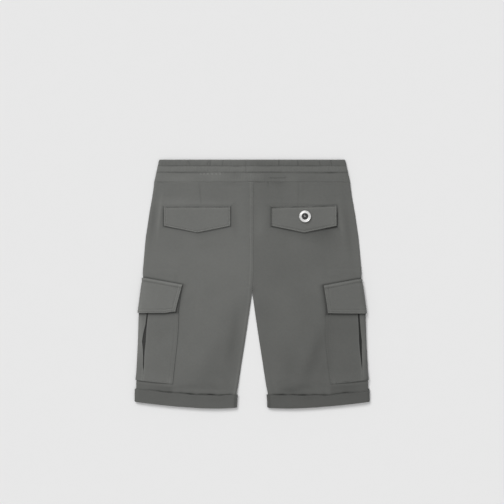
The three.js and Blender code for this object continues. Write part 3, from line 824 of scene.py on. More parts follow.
def sewn(name, surface, paths, seed=1):
    """Rows of stitches as one mesh. Each path is two arrays of the surface's coordinates. Every stitch is a
    thread that rises out of the cloth and dives back, four rings of points between two end points."""
    look = bpy.context.scene.shorts_stitching
    pitch = (look.stitch_length + look.stitch_gap) / MM
    fill = look.stitch_length / (look.stitch_length + look.stitch_gap)
    radius = look.thread_width / MM / 2
    draw = np.random.default_rng(seed)
    part = np.array([0.0, 0.06, 0.3, 0.7, 0.94, 1.0])
    thick = np.array([0.15, 0.75, 1.0, 1.0, 0.75, 0.15])
    height = np.array([-0.5, 0.0, 0.75, 0.75, 0.0, -0.5])
    around = np.arange(6) * np.pi / 3
    points, count = [], 0
    for a, b in paths:
        line = surface(a, b, 0.0)
        length = np.concatenate([[0], np.cumsum(np.linalg.norm(np.diff(line, axis=0), axis=1))])
        stitches = max(int(round(length[-1] / pitch)), 1)
        start = np.arange(stitches) * (length[-1] / stitches)
        start = start + draw.normal(0, 0.06, stitches)
        at = np.clip(start[:, None] + part * fill * pitch, 0, length[-1])
        aa, bb = np.interp(at, length, a), np.interp(at, length, b)
        lift = radius * height
        middle = surface(aa, bb, np.broadcast_to(lift, at.shape))
        above = surface(aa, bb, np.broadcast_to(lift + 0.5, at.shape)) - middle
        up = above / np.linalg.norm(above, axis=-1, keepdims=True)
        along = (middle[:, -1] - middle[:, 0])[:, None]
        across = np.cross(along, up)
        across /= np.maximum(np.linalg.norm(across, axis=-1, keepdims=True), 1e-9)
        wide = radius * draw.uniform(0.9, 1.1, stitches)[:, None, None, None]
        ring = (
            across[:, :, None] * np.cos(around)[:, None] * wide * thick[:, None, None]
            + up[:, :, None] * np.sin(around)[:, None] * wide * thick[:, None, None] * 0.8
        )
        points.append((middle[:, :, None] + ring).reshape(-1, 3))
        count += stitches
    n, m = len(part), len(around)
    i, j = (v.ravel() for v in np.meshgrid(np.arange(n - 1), np.arange(m), indexing="ij"))
    k = (j + 1) % m
    sides = np.concatenate(
        [
            np.stack([i * m + j, i * m + k, (i + 1) * m + k], -1),
            np.stack([i * m + j, (i + 1) * m + k, (i + 1) * m + j], -1),
        ]
    )
    fan = np.arange(1, m - 1)
    first = np.stack([np.zeros_like(fan), fan + 1, fan], -1)
    last = np.stack([np.zeros_like(fan), fan, fan + 1], -1) + (n - 1) * m
    one = np.concatenate([sides, first, last])
    faces = (one[None] + (np.arange(count) * n * m)[:, None, None]).reshape(-1, 3)
    return piece_object(name, np.concatenate(points), faces, material=thread_material())


# Panels

PANEL_TOP = BAND_Y - SEAM_GAP
PANEL_BOTTOM = HEM_Y + 1.9
FRONT_LINES = 58
WELT_WIDE = 7.6
WELT_ROWS = (1.9, 6.8)
WELT_RISE = 0.22
WELT_DIP = 0.24
WELT_FALL = 0.04

# Painted shadow on the back panel beside the edges that lie on it: how dark, on the left and right. For a
# back
# flap: a share of the way down its ends or outwards along its top and foot, and there its inner end, outer
# end, top, foot
FLAP_LINE = (1.5, 7.0, 0.9)  # how wide the dark line and the soft shade are, and how far off the line is
FLAP_SOFT = (0.14, 0.06, 0.0)  # the soft shade at the inner end, outer end and top
FLAP_FOOT_SOFT = {-1: (0.06, 0.06), 1: (0.06, 0.3)}  # and along the foot, at its inner and outer corner
FLAP_DARK = {
    -1: (
        (0.0, 0.22, 0.30, 0.06, 0.26),
        (0.25, 0.28, 0.45, 0.02, 0.22),
        (0.5, 0.28, 0.52, 0.04, 0.05),
        (0.75, 0.26, 0.45, 0.0, 0.14),
        (1.0, 0.22, 0.50, 0.0, 0.34),
    ),
    1: (
        (0.0, 0.28, 0.12, 0.05, 0.50),
        (0.25, 0.30, 0.60, 0.05, 0.30),
        (0.5, 0.30, 0.95, 0.0, 0.06),
        (0.75, 0.26, 0.80, 0.1, 0.24),
        (1.0, 0.30, 0.50, 0.25, 0.60),
    ),
}
CARGO_FLAP_DARK = 0.26
CARGO_FLAP_SOFT = {-1: 0.34, 1: 0.46}
POCKET_DARK = {-1: 0.22, 1: 0.08}
POCKET_LOW = (-105, -130)  # where the painted shadow beside the right pocket's back edge starts to grow, and is full
UNDER_POCKET = 0.16
CUFF_DARK = {-1: 0.8, 1: 0.75}
CUFF_DARK_FROM = (14.0, 40.0)
CUFF_SOFT = 0.12
CUFF_DROP = {-1: 0.0, 1: 3.2}
CUFF_WAVE = 0.45
DITCH = 0.35
TOP_RAISED = 0.35


def panel_lines(side, layer, level, near):
    """Distances from the side fold on each level: close together at both folds and even between them. On the
    back they run at fixed distances from the centre seam, close together at the back flap's ends."""
    whole = breadth(side, layer, level)
    folds = np.linspace(0, FOLD_ARC, near)
    if layer > 0:
        inner, outer = (x - side * SEAM_SHIFT for x in BACK_FLAPS[side][:2])
        left = graded(
            (FOLD_ARC, inner - 2, 1.4),
            (inner - 2, inner + 2, 0.5),
            (inner + 2, outer - 2, 1.55),
            (outer - 2, outer + 3, 0.5),
            (outer + 3, 150, 1.4),
        )
        by_fold = mix(FOLD_ARC, whole - left[-1], np.linspace(0, 1, 18)[1:-1])
        middle = np.concatenate([by_fold, whole - left[::-1][:-1]], axis=1)
    else:
        middle = mix(FOLD_ARC, whole - FOLD_ARC, np.linspace(0, 1, FRONT_LINES)[1:-1])
    at_fold = np.broadcast_to(folds, (len(level), near))
    return np.concatenate([at_fold, middle, whole - folds[::-1]], axis=1)


def beside(distance, dark, wide, soft=0.0, soft_wide=6.0, off=0.0):
    """Painted shadow on cloth at a distance from an edge that lies on it: a dark line, off by a little, and a
    soft shade that reaches further; evenly dark under the edge."""
    away = np.maximum(distance, 0)
    return dark * bump(away, off, wide) + soft * bump(away, 0, soft_wide)


def back_flap_painted_shade(side, x, level):
    """Painted shadow on the back panel round a back flap. The nearest of its four edges sets how dark it is,
    by the rows of its table."""
    inner, outer, *_ = BACK_FLAPS[side]
    across = np.clip((np.abs(x) - inner) / (outer - inner), 0, 1)
    top, bottom = back_flap_ends(side, across)
    down = np.clip((top - level) / (top - bottom), 0, 1)
    away = np.stack(np.broadcast_arrays(inner - np.abs(x), np.abs(x) - outer, level - top, bottom - level))
    nearest = np.argmax(away, axis=0)
    share, *edges = np.array(FLAP_DARK[side]).T
    places = (down, down, across, across)
    dark = np.choose(nearest, [np.interp(at, share, edge) for at, edge in zip(places, edges)])
    soft = np.choose(nearest, [*FLAP_SOFT, mix(*FLAP_FOOT_SOFT[side], across)])
    wide, soft_wide, off = FLAP_LINE
    return beside(away.max(axis=0), dark, wide, soft, soft_wide, off)


def cuff_top(side, share):
    """The level of a cuff's upper edge, at a share of the way from the side fold to the inner leg."""
    wave = CUFF_WAVE * np.sin(23 * share + 2 * side) * ease(0, 0.2, share) * ease(1, 0.85, share)
    return HEM_Y + CUFF_DEEP - CUFF_DROP[side] * ease(0.75, 0.4, share) + wave


def panel_painted_shade(side, far, level, x):
    """Painted shadow and shade on the back panel beside the flaps, the pocket's back edge and the cuff's
    upper edge, and in its own creases."""
    back, _, top, bottom = cargo_flap_depths(side, far, level)
    beyond = np.maximum(-back, -bottom)
    by_flap = beside(beyond, CARGO_FLAP_DARK, 1.5, CARGO_FLAP_SOFT[side], 6.0, 1.0) * ease(4, 0, -top)
    edge, foot = pocket_edge(side, level), FLAP_SIDES[side][1]
    in_pocket = ease(edge + 3, edge - 3, far)
    under_pocket = UNDER_POCKET * ease(POCKET_BOTTOM - 1, POCKET_BOTTOM - 7, level) * in_pocket
    below = ease(POCKET_BOTTOM - 4, POCKET_BOTTOM + 2, level) * ease(foot, foot - 4, level)
    by_pocket = beside(far - edge, POCKET_DARK[side], 1.3) * below
    if side > 0:
        by_pocket = by_pocket * mix(0.2, 1.8, ease(*POCKET_LOW, level))
    share = far / breadth(side, 1, level)
    here = ease(*CUFF_DARK_FROM, far) * ease(0.98, 0.9, share) * mix(0.6, 1, ease(0.35, 0.6, share))
    by_cuff = beside(level - cuff_top(side, share), CUFF_DARK[side], 1.7, CUFF_SOFT, 7.0) * here
    by_cuff = by_cuff * (0.85 + 0.25 * np.sin(29 * share + side) + 0.2 * np.sin(61 * share))
    pockets = back_flap_painted_shade(side, x, level) + by_flap + by_pocket + under_pocket
    return np.clip(pockets + by_cuff + creased(x, level, 1.0)[1], 0, 1)


def welt(side, left, level):
    """Lift of the centre back seam: the left panel's edge lies over the seam's layers and is stitched down
    in two rows, and the right panel's edge falls away beside it."""
    body = ease(CROTCH_Y - 12, CROTCH_Y + 8, level)
    if side < 0:
        over = WELT_RISE * ease(WELT_WIDE + 2, WELT_WIDE, left) * turned(left, 0.9, 0.3)
        rows = sum(WELT_DIP * bump(left, row, 0.8) for row in WELT_ROWS)
        return body * (over - rows + puckers(level, left - 4, 0.12, 8.5, 5, 0.7))
    return -WELT_FALL * body * bump(left, 0, 2)


def panel_face(side, layer, far, level, out, shade_amount=0.0):
    """Points of a panel's face, kept half a gap from the seam between the layers. The back's outer face has
    the welt, ditches as deep as its painted shade, and rises to the waistband."""
    if layer > 0 and out == 0:
        out = welt(side, breadth(side, layer, level) - far, level) - DITCH * shade_amount
        out = out + TOP_RAISED * ease(PANEL_TOP - 8, PANEL_TOP, level)
    point, seam = cloth(side, layer * far, level, out)
    limit = seam + layer * GAP / 2
    point[..., 2] = np.maximum(point[..., 2], limit) if layer > 0 else np.minimum(point[..., 2], limit)
    return point


def panel_object(name, side, layer, levels, near):
    """A front or back panel from the side fold to the centre seam and inner leg, on a grid of its levels."""
    level = levels[:, None]
    far = panel_lines(side, layer, level, near)
    painted_shade, painted_tone = 0.0, 1.0
    if layer > 0:
        x = side * (outline(SIDE, level) - far + FOLD_ARC - FOLD_WIDE)
        # Painted shadow and shade on the back panel, and its painted tone, darker down the legs
        painted_shade = panel_painted_shade(side, far, level, x)
        painted_tone = mix(PAINTED_TONE["panel"][side > 0], PAINTED_TONE["leg"][side > 0], ease(10, -50, level))
    outer = panel_face(side, layer, far, level, 0, painted_shade)
    inner = panel_face(side, layer, far, level, -CLOTH)
    left = breadth(side, layer, level) - far
    # Lighter side fold and welt, partly wear and partly painted highlight
    wear_and_painted_highlight = 0.4 * bump(far, 0, 3)
    if side < 0:
        wear_and_painted_highlight = wear_and_painted_highlight + 0.12 * bump(left, 0.8, 0.8) + 0.6 * bump(left, 5.2, 1.1)
    return wall_object(name, outer, inner, far, np.broadcast_to(level, far.shape), side, wear_and_painted_highlight, painted_shade, painted_tone)


class SHORTS_OT_back_panels(bpy.types.Operator):
    """Builds the two back panels, with the centre seam's welt, darts and creases"""

    bl_idname = "shorts.back_panels"
    bl_label = "Back panels"

    def execute(self, context):
        levels = graded(
            (PANEL_TOP, 131, 1.2),
            (131, 123, 0.6),
            (123, 99, 1.4),
            (99, 81, 0.7),
            (81, 14, 1.7),
            (14, -52, 1.3),
            (-52, -172, 2.1),
            (-172, -188, 0.8),
            (-188, PANEL_BOTTOM, 2.8),
        )
        for side, word in SIDES:
            panel = panel_object(f"back_panel_{word}", side, 1, levels, 8)
            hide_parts(f"back_{word}")
            seam = [self.seam_stitches()] if side < 0 else []
        return {"FINISHED"}

    def seam_stitches(self):
        """Two rows of stitches along the centre back seam, on the left panel's edge."""
        level = np.linspace(PANEL_TOP - 1, CROTCH_Y + 6, 240)

        def surface(left, level, lift):
            far = breadth(-1, 1, level) - left
            return cloth_point(-1, far, level, welt(-1, left, level) + lift)

        paths = [(np.full_like(level, row), level) for row in WELT_ROWS]
        return sewn("stitches_back_seam", surface, paths, 2)


class SHORTS_OT_front_panels(bpy.types.Operator):
    """Builds the two front panels, which lie on the surface"""

    bl_idname = "shorts.front_panels"
    bl_label = "Front panels"

    def execute(self, context):
        levels = graded((PANEL_TOP, PANEL_BOTTOM, 3.6))
        for side, word in SIDES:
            panel = panel_object(f"front_panel_{word}", side, -1, levels, 7)
            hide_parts(f"front_{word}")
        return {"FINISHED"}


# Cargo pockets

POCKET_NEAR = np.array([0, 0.35, 0.8, 1.3, 1.8, 2.3, 2.9, 3.6, 4.5, 5.5, 6.3, 7.0, 7.8])
POCKET_STITCH_ROWS = (2.2, 7.0)
POCKET_FOOT_ROW = 2.2
POCKET_FOOT_SEWN = (18, -8)  # where the foot's row stops on the back, and starts again on the front
POCKET_PUCKERS = {-1: 0.14, 1: 0.3}
# Painted shade on the cloth seen down each slit
SLIT_DARK = {-1: 0.88, 1: 1.0}


def slit(side, level):
    """The reach of the slit's middle in the pocket's pleat, and its width, at a level."""
    rows = SLITS[side].T
    return np.interp(level, rows[0], rows[1]), np.interp(level, rows[0], rows[2])


def fold_rise(reach):
    """How much of the pleat's height is left where the pocket goes round the side fold."""
    return ease(FOLD_RISE_START, FOLD_ARC, reach)


def pocket_edge(side, level):
    """The reach of the pocket's back edge at a level."""
    start, taper, bow = POCKET_BACK[side]
    down = ease(POCKET_TOP, POCKET_BOTTOM, level)
    return start - taper * down + bow * np.sin(np.pi * down)


def pocket_path(side, level):
    """The middle line of the pocket's cloth on each level, as reaches and distances out, and how much painted
    shade it gets: over the back, up a ramp, into the pleat, under the slit, out of the pleat, round the side
    fold and over the front. Each turn is a half circle."""
    low, turn = GAP + POCKET_CLOTH / 2, PLEAT_TURN
    second, top = low + POCKET_STEP, low + PLEAT_RISE
    middle, width = slit(side, level)
    half = (width + POCKET_CLOTH) / 2
    back_fold, front_fold = middle + half, middle - half
    outside = np.minimum(PLEAT_OUTSIDE, front_fold - 1.8)
    edge = pocket_edge(side, level)
    reaches, outs, painted_shade = [], [], []

    def run(start, end, out, count, shade_amount=0.0):
        t = np.linspace(0, 1, count)
        reaches.append(mix(start, end, t) + 0 * level)
        outs.append(np.full((len(level), count), out))
        painted_shade.append(np.full((len(level), count), shade_amount))

    def half_turn(reach, out, start, end, shade_amount):
        angle = np.radians(np.linspace(start, end, 9))
        reaches.append(reach + turn * np.cos(angle) + 0 * level)
        outs.append(out + turn * np.sin(angle) + 0 * level)
        painted_shade.append(np.full((len(level), 9), 1.0) * shade_amount)

    def slope(reach, out):
        reaches.append(reach)
        outs.append(out + 0 * reach)
        painted_shade.append(np.zeros(reach.shape))

    slope(edge - POCKET_NEAR, low)
    ramp = mix(edge - 8.6, PLEAT_INSIDE, np.linspace(0, 1, 24)[:-1])
    slope(ramp, mix(low, top, ease(PLEAT_INSIDE + PLEAT_RAMP, PLEAT_INSIDE, ramp)))
    run(PLEAT_INSIDE, back_fold + turn - POCKET_CLOTH / 2 + 0.6, top, 12)
    half_turn(back_fold + turn - POCKET_CLOTH / 2, top - turn, 90, 270, np.linspace(0, 1, 9))
    run(back_fold + 2, PLEAT_INSIDE - 1, second, 4, 1.0)
    half_turn(PLEAT_INSIDE, low + turn, 90, -90, 1.0)
    run(PLEAT_INSIDE - 1, outside + 1, low, 8, SLIT_DARK[side])
    half_turn(outside, low + turn, 270, 90, 1.0)
    half_turn(front_fold - turn + POCKET_CLOTH / 2, second + turn, -90, 90, np.linspace(1, 0, 9))
    fold = mix(np.minimum(FOLD_ARC + 1.4, front_fold - 0.9), -FOLD_ARC, np.linspace(0, 1, 20))
    slope(fold, mix(low, top, fold_rise(fold)))
    run(-7.5, POCKET_FRONT, low, 16)
    return (np.concatenate(part, axis=1) for part in (reaches, outs, painted_shade))


def pocket_top(reach):
    """The pocket's outer face over the panel, at a reach: high over the pleat, low elsewhere."""
    ramp = ease(PLEAT_INSIDE + PLEAT_RAMP, PLEAT_INSIDE, reach)
    return GAP + POCKET_CLOTH + PLEAT_RISE * np.minimum(ramp, fold_rise(reach))


def pocket_relief(side, reach, level):
    """Lift of the pocket's outer face: turned and stitched edges that the stitching puckers, more at the
    right one's foot."""
    back = pocket_edge(side, level) - reach
    bottom = level - POCKET_BOTTOM
    edge = topstitched(back, POCKET_STITCH_ROWS, 0.04, 0.09) + puckers(level, back - 2, 0.08, 8.0, 5.0, 0.3)
    strength = POCKET_PUCKERS[side]
    foot = topstitched(bottom, (POCKET_FOOT_ROW,), 0.12, 0.16)
    return edge + (foot + puckers(reach, bottom - 4, strength, 8.0, 7.0, 1.9))


def pocket_object(side, word):
    """A cargo pocket: one wall of cloth along the path of its middle line on each level."""
    level = graded((POCKET_TOP, -44, 2.2), (-44, -62, 0.8), (-62, -158, 1.9), (-158, POCKET_BOTTOM, 0.7))
    level = level[:, None]
    reach, out, painted_shade = pocket_path(side, level)
    d_reach, d_out = np.gradient(reach, axis=1), np.gradient(out, axis=1)
    size = np.hypot(d_reach, d_out)
    travel = np.cumsum(size, axis=1)
    d_reach, d_out = d_reach / size, d_out / size
    shown = np.where(np.abs(d_out) < 0.75, 1 - np.clip(painted_shade * 4, 0, 1), 0)
    lift = pocket_relief(side, reach, level) * shown
    back = pocket_edge(side, level) - reach
    around = turned(back, 1.4) * turned(level - POCKET_BOTTOM, 3.6, 0.16) * turned(reach - POCKET_FRONT)
    around = np.where(painted_shade > 0, 1, around)
    half_out = POCKET_CLOTH * (around - 0.5) + lift
    over, under = (
        cloth_point(side, reach + way * half * d_out, level, out - way * half * d_reach)
        for way, half in ((-1, half_out), (1, POCKET_CLOTH / 2))
    )
    # Lighter edges, partly wear, and a painted highlight on the strips beside the slit
    wear_and_painted_highlight = 0.12 * bump(back, 1.1, 1.0) + 0.1 * bump(level - POCKET_BOTTOM, 2.4, 1.4)
    middle, width = slit(side, level)
    for lip in (middle + width / 2, middle - width / 2):
        wear_and_painted_highlight = wear_and_painted_highlight + 0.6 * bump(reach, lip, 1.8)
    wear_and_painted_highlight = np.clip(wear_and_painted_highlight, 0, 1) * (painted_shade < 0.2)
    # Painted shadow under the cargo flap, and painted shade in marks along the right pocket's foot
    under_flap = beside(cargo_flap_ends(side, reach)[1] - level, 0.5, 2.2, 0.26, 6.5, 1.2)
    marks = np.clip(np.sin(reach / 5.2 + 1), 0, 1)
    painted_foot_shade = 0.3 * (side > 0) * bump(level - POCKET_BOTTOM, 1.8, 1.2) * marks
    painted_shade = np.clip(painted_shade + under_flap + painted_foot_shade, 0, 1)
    painted_tone = PAINTED_TONE["pocket"][side > 0]
    return wall_object(f"pocket_cargo_{word}", over, under, travel, level, side, wear_and_painted_highlight, painted_shade, painted_tone)


def pocket_stitches(side, word):
    """Rows of stitches down the pocket's back edge and along its lower edge."""

    def surface(reach, level, lift):
        return cloth_point(side, reach, level, pocket_top(reach) + pocket_relief(side, reach, level) + lift)

    foot, front = POCKET_BOTTOM + POCKET_FOOT_ROW, POCKET_FRONT + POCKET_FOOT_ROW
    level = np.linspace(FLAP_SIDES[side][1] + 8, foot, 150)
    paths = [(pocket_edge(side, level) - row, level) for row in POCKET_STITCH_ROWS]
    back = float(pocket_edge(side, POCKET_BOTTOM)) - POCKET_FOOT_ROW
    for start, end in ((back, POCKET_FOOT_SEWN[0]), (POCKET_FOOT_SEWN[1], front)):
        reach = np.linspace(start, end, 60)
        paths.append((reach, np.full_like(reach, foot)))
    paths.append((np.full_like(level, front), level))
    return sewn(f"stitches_pocket_cargo_{word}", surface, paths, 3)


class SHORTS_OT_cargo_pockets(bpy.types.Operator):
    """Builds the two cargo pockets, each with an inverted pleat, round the side folds"""

    bl_idname = "shorts.cargo_pockets"
    bl_label = "Cargo pockets"

    def execute(self, context):
        for side, word in SIDES:
            pocket = pocket_object(side, word)
            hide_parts(f"cargo_pocket_{word}")
            stitches = pocket_stitches(side, word)
        return {"FINISHED"}


# Cargo flaps

CARGO_FLAP_NEAR = np.array([0, 0.3, 0.65, 1.1, 1.7, 2.3, 2.9, 3.6, 4.5, 5.4, 6.3, 7.1, 8.0])
CARGO_FLAP_DEEP = 56
CARGO_FLAP_ROWS = (2.3, 6.3)
CARGO_FLAP_TOP_ROW = 5.6
FLAP_SEWN_FALL = 1.4
FLAP_SEWN_LEAST = 0.4


def cargo_flap_ends(side, reach):
    """The levels of a cargo flap's top and bottom edge at a reach."""
    top, bottom, rise, _ = FLAP_SIDES[side]
    fall = (np.hypot(reach, FLAP_FALL_ROUND) - FLAP_FALL_ROUND) / FLAP_FALL_REACH
    corner = ease(*FLAP_CORNER, np.abs(reach - FLAP_MIDDLE))
    return top - FLAP_FALL * fall, bottom + rise * corner


def cargo_flap_depths(side, reach, level):
    """Distances in from a cargo flap's back, front, top and bottom edge."""
    top, bottom = cargo_flap_ends(side, reach)
    down = np.clip((top - level) / (top - bottom), 0, 1)
    edge = FLAP_SIDES[side][3]
    return mix(*edge, down) - reach, reach - mix(*FLAP_FRONT, down), top - level, level - bottom


def cargo_flap_base(side, reach, level):
    """Distance out of a cargo flap's inner face: a gap over the pocket, nearer to the panel above it, where
    it is sewn on, and further off along its back edge and its foot, where it stands away."""
    back, _, top, bottom = cargo_flap_depths(side, reach, level)
    clear = cargo_flap_ends(side, reach)[0] - POCKET_TOP - GAP
    fall = np.minimum(FLAP_SEWN_FALL, pocket_top(reach) - FLAP_SEWN_LEAST) * ease(clear, 0, top)
    kick = 0.9 * bump(np.maximum(back, 0), 0, 9) * ease(0, 18, top) + 0.5 * bump(np.maximum(bottom, 0), 0, 9)
    return pocket_top(reach) + GAP - fall + kick * ease(-4, 12, reach)


def cargo_flap_top(side, reach, level):
    """Distance out of a cargo flap's outer face: turned edges, and two rows of stitching inside them."""
    back, front, top, bottom = cargo_flap_depths(side, reach, level)
    ends = np.minimum(back, front)
    edge = np.minimum(ends, bottom)
    thick = FLAP_CLOTH * turned(edge) * turned(top, 2.6, 0.35)
    lift = topstitched(edge, CARGO_FLAP_ROWS, 0.3, 0.28)
    lift = lift + 0.3 * bump(top, 2.4, 1.5) - 0.45 * bump(top, CARGO_FLAP_TOP_ROW, 1.4)
    lift = lift + puckers(reach, bottom - 3, 0.16, 8.4, 5, 1.1) + puckers(level, ends - 3, 0.16, 7.7, 5, 2.3)
    return cargo_flap_base(side, reach, level) + thick + lift


def cargo_flap_object(side, word):
    """A cargo flap on a grid whose lines follow its edges, close together beside them."""
    near = CARGO_FLAP_NEAR
    down = edged(near, CARGO_FLAP_DEEP, 26)[:, None] / CARGO_FLAP_DEEP
    back, front = mix(*FLAP_SIDES[side][3], down), mix(*FLAP_FRONT, down)
    middle = mix(back - near[-1], front + near[-1], np.linspace(0, 1, 84)[1:-1])
    reach = np.concatenate([back - near, middle, front + near[::-1]], axis=1)
    top, bottom = cargo_flap_ends(side, reach)
    level = mix(top, bottom, down)
    outer = cloth_point(side, reach, level, cargo_flap_top(side, reach, level))
    inner = cloth_point(side, reach, level, cargo_flap_base(side, reach, level))
    back, front, top, bottom = cargo_flap_depths(side, reach, level)
    edge = np.minimum(np.minimum(back, front), bottom)
    # Lighter edges and top, partly wear and partly painted highlight, and painted shade along the edges, the
    # top and its row of stitching
    wear_and_painted_highlight = np.clip(bump(edge, 1.1, 1.2) + 0.3 * bump(edge, 4.3, 1.2) + 0.8 * bump(top, 2.0, 1.5), 0, 1)
    painted_shade = 0.15 * bump(edge, 0, 0.5) + 0.2 * bump(top, CARGO_FLAP_TOP_ROW, 1.1) + 0.1 * bump(top, 0, 0.5)
    painted_tone = PAINTED_TONE["cargo_flap"][side > 0]
    return wall_object(f"flap_cargo_{word}", outer, inner, reach, level, side, wear_and_painted_highlight, painted_shade, painted_tone)


def cargo_flap_stitches(side, word):
    """Two rows of stitches inside the flap's back, bottom and front edges, and one under its top edge."""

    def surface(reach, level, lift):
        return cloth_point(side, reach, level, cargo_flap_top(side, reach, level) + lift)

    paths, back_edge = [], FLAP_SIDES[side][3]
    for row in CARGO_FLAP_ROWS:
        down = np.linspace(3.0 / CARGO_FLAP_DEEP, 1 - row / 55, 60)
        for edges, way in ((back_edge, -1), (FLAP_FRONT, 1)):
            reach = mix(*edges, down) + way * row
            top, bottom = cargo_flap_ends(side, reach)
            paths.append((reach, mix(top, bottom, down)))
        reach = np.linspace(back_edge[1] - row, FLAP_FRONT[1] + row, 140)
        paths.append((reach, cargo_flap_ends(side, reach)[1] + row))
    reach = np.linspace(back_edge[0] - 3, FLAP_FRONT[0] + 3, 140)
    paths.append((reach, cargo_flap_ends(side, reach)[0] - CARGO_FLAP_TOP_ROW))
    return sewn(f"stitches_flap_cargo_{word}", surface, paths, 4)


class SHORTS_OT_cargo_flaps(bpy.types.Operator):
    """Builds the two cargo pocket flaps, which wrap round the side folds over the pockets"""

    bl_idname = "shorts.cargo_flaps"
    bl_label = "Cargo flaps"

    def execute(self, context):
        for side, word in SIDES:
            flap = cargo_flap_object(side, word)
            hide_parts(f"cargo_flap_{word}")
            stitches = cargo_flap_stitches(side, word)
        return {"FINISHED"}


# Back flaps

BACK_FLAP_NEAR = np.array([0, 0.3, 0.65, 1.1, 1.7, 2.2, 2.6, 3.0, 3.6, 4.5, 5.6])
BACK_FLAP_DEEP = 37
BACK_FLAP_ROW = 2.6
BACK_FLAP_TOP_ROW = 2.2
BACK_FLAP_SHADE = {-1: (0.3, 0.1), 1: (0.45, 0.16)}  # painted shade along its top and its rim
LOOSE_CORNER = {-1: 0.7, 1: 1.3}


def back_flap_ends(side, across):
    """The levels of a back flap's top and pointed bottom edge at a share of the way across it."""
    *_, top, rise = BACK_FLAPS[side]
    point = 1 - np.sqrt((2 * across - 1) ** 2 + 0.02**2)
    return top + rise * across, mix(BACK_FLAP_CORNER, BACK_FLAP_TIP, point)


def back_flap_top(side, across, level):
    """Distance out of a back flap's outer face: turned edges, a row of stitching inside them, and a kick
    away from the cloth at the pointed edge."""
    inner, outer, *_ = BACK_FLAPS[side]
    top, bottom = back_flap_ends(side, across)
    down = np.clip((top - level) / (top - bottom), 0, 1)
    ends = np.minimum(across, 1 - across) * (outer - inner)
    slope = math.hypot(1, 2 * (BACK_FLAP_CORNER - BACK_FLAP_TIP) / (outer - inner))
    foot = (level - bottom) / slope
    edge = np.minimum(ends, foot)
    thick = FLAP_CLOTH * turned(edge) * turned(top - level, 1.3, 0.4)
    along = across * 105
    lift = topstitched(edge, (BACK_FLAP_ROW,), 0.34, 0.3)
    lift = lift + topstitched(top - level, (BACK_FLAP_TOP_ROW,), 0.3, 0.3)
    lift = lift + puckers(along, foot - 2.5, 0.17, 8.2, 5, side) + puckers(level, ends - 2.5, 0.12, 7, 4, 1.3)
    lift = lift + puckers(along, top - level - 2, 0.12, 9.1, 4, 2.0)
    return back_flap_base(side, across, down) + thick + lift, edge, top - level


def back_flap_base(side, across, down):
    """Distance out of a back flap's inner face: a gap over the panel, and more towards the pointed edge and
    at its loose outer corner."""
    corner = LOOSE_CORNER[side] * ease(0.7, 1, across) * down
    return GAP + BACK_FLAP_KICK[side] * down**2 + corner


def back_flap_object(side, word):
    """A back flap on a grid whose lines follow its edges, close together beside them."""
    inner, outer, *_ = BACK_FLAPS[side]
    wide = outer - inner
    across = edged(BACK_FLAP_NEAR, wide, 84)[None] / wide
    down = edged(BACK_FLAP_NEAR, BACK_FLAP_DEEP, 22) / BACK_FLAP_DEEP
    top, bottom = back_flap_ends(side, across)
    level = mix(top, bottom, down[:, None])
    across = np.broadcast_to(across, level.shape)
    x = mix(inner, outer, across)
    out, edge, under_top = back_flap_top(side, across, level)
    reach = reach_at(x, level)
    down = np.broadcast_to(down[:, None], level.shape)
    face = cloth_point(side, reach, level, out)
    back = cloth_point(side, reach, level, back_flap_base(side, across, down))
    # Lighter rim and top, partly wear and partly painted highlight; painted shade along the rim and under the
    # top
    wear_and_painted_highlight = np.clip(bump(edge, 1.5, 1.6) + 0.6 * bump(under_top, 3.0, 1.5), 0, 1)
    top_dark, rim_dark = BACK_FLAP_SHADE[side]
    uneven = 1 + 0.35 * np.sin(across * 17 + side) + 0.2 * np.sin(across * 41)
    painted_shade = rim_dark * bump(edge, 0, 0.6) + top_dark * uneven * bump(under_top, 0.7, 1.2)
    # On the right flap, painted dark lines inside its inner edge and above its foot
    if side > 0:
        painted_shade = painted_shade + 0.35 * bump(across * 107, 0.4, 1.3)
        inside = ease(0.08, 0.25, across) * ease(0.95, 0.8, across)
        painted_shade = painted_shade + 0.16 * bump(level - bottom, 4.4, 0.9) * inside
    painted_tone = PAINTED_TONE["back_flap"][side > 0]
    return wall_object(f"flap_back_{word}", face, back, x, level, side, wear_and_painted_highlight, painted_shade, painted_tone)


def back_flap_stitches(side, word):
    """A row of stitches inside the edges of a back flap."""
    inner, outer, *_ = BACK_FLAPS[side]
    wide = outer - inner

    def surface(across, level, lift):
        reach = reach_at(mix(inner, outer, across), level)
        return cloth_point(side, reach, level, back_flap_top(side, across, level)[0] + lift)

    row = BACK_FLAP_ROW
    shares = np.linspace(row / wide, 1 - row / wide, 160)
    top, bottom = back_flap_ends(side, shares)
    paths = [(shares, bottom + row), (shares, top - BACK_FLAP_TOP_ROW)]
    for share in (row / wide, 1 - row / wide):
        ends = back_flap_ends(side, np.array([share]))
        level = np.linspace(ends[0][0] - 2.4, ends[1][0] + row, 40)
        paths.append((np.full_like(level, share), level))
    return sewn(f"stitches_flap_back_{word}", surface, paths, 5)


class SHORTS_OT_back_flaps(bpy.types.Operator):
    """Builds the two pointed flaps on the seat"""

    bl_idname = "shorts.back_flaps"
    bl_label = "Back flaps"

    def execute(self, context):
        for side, word in SIDES:
            flap = back_flap_object(side, word)
            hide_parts(f"back_flap_{word}")
            back_flap_stitches(side, word)
        return {"FINISHED"}


# Cuffs


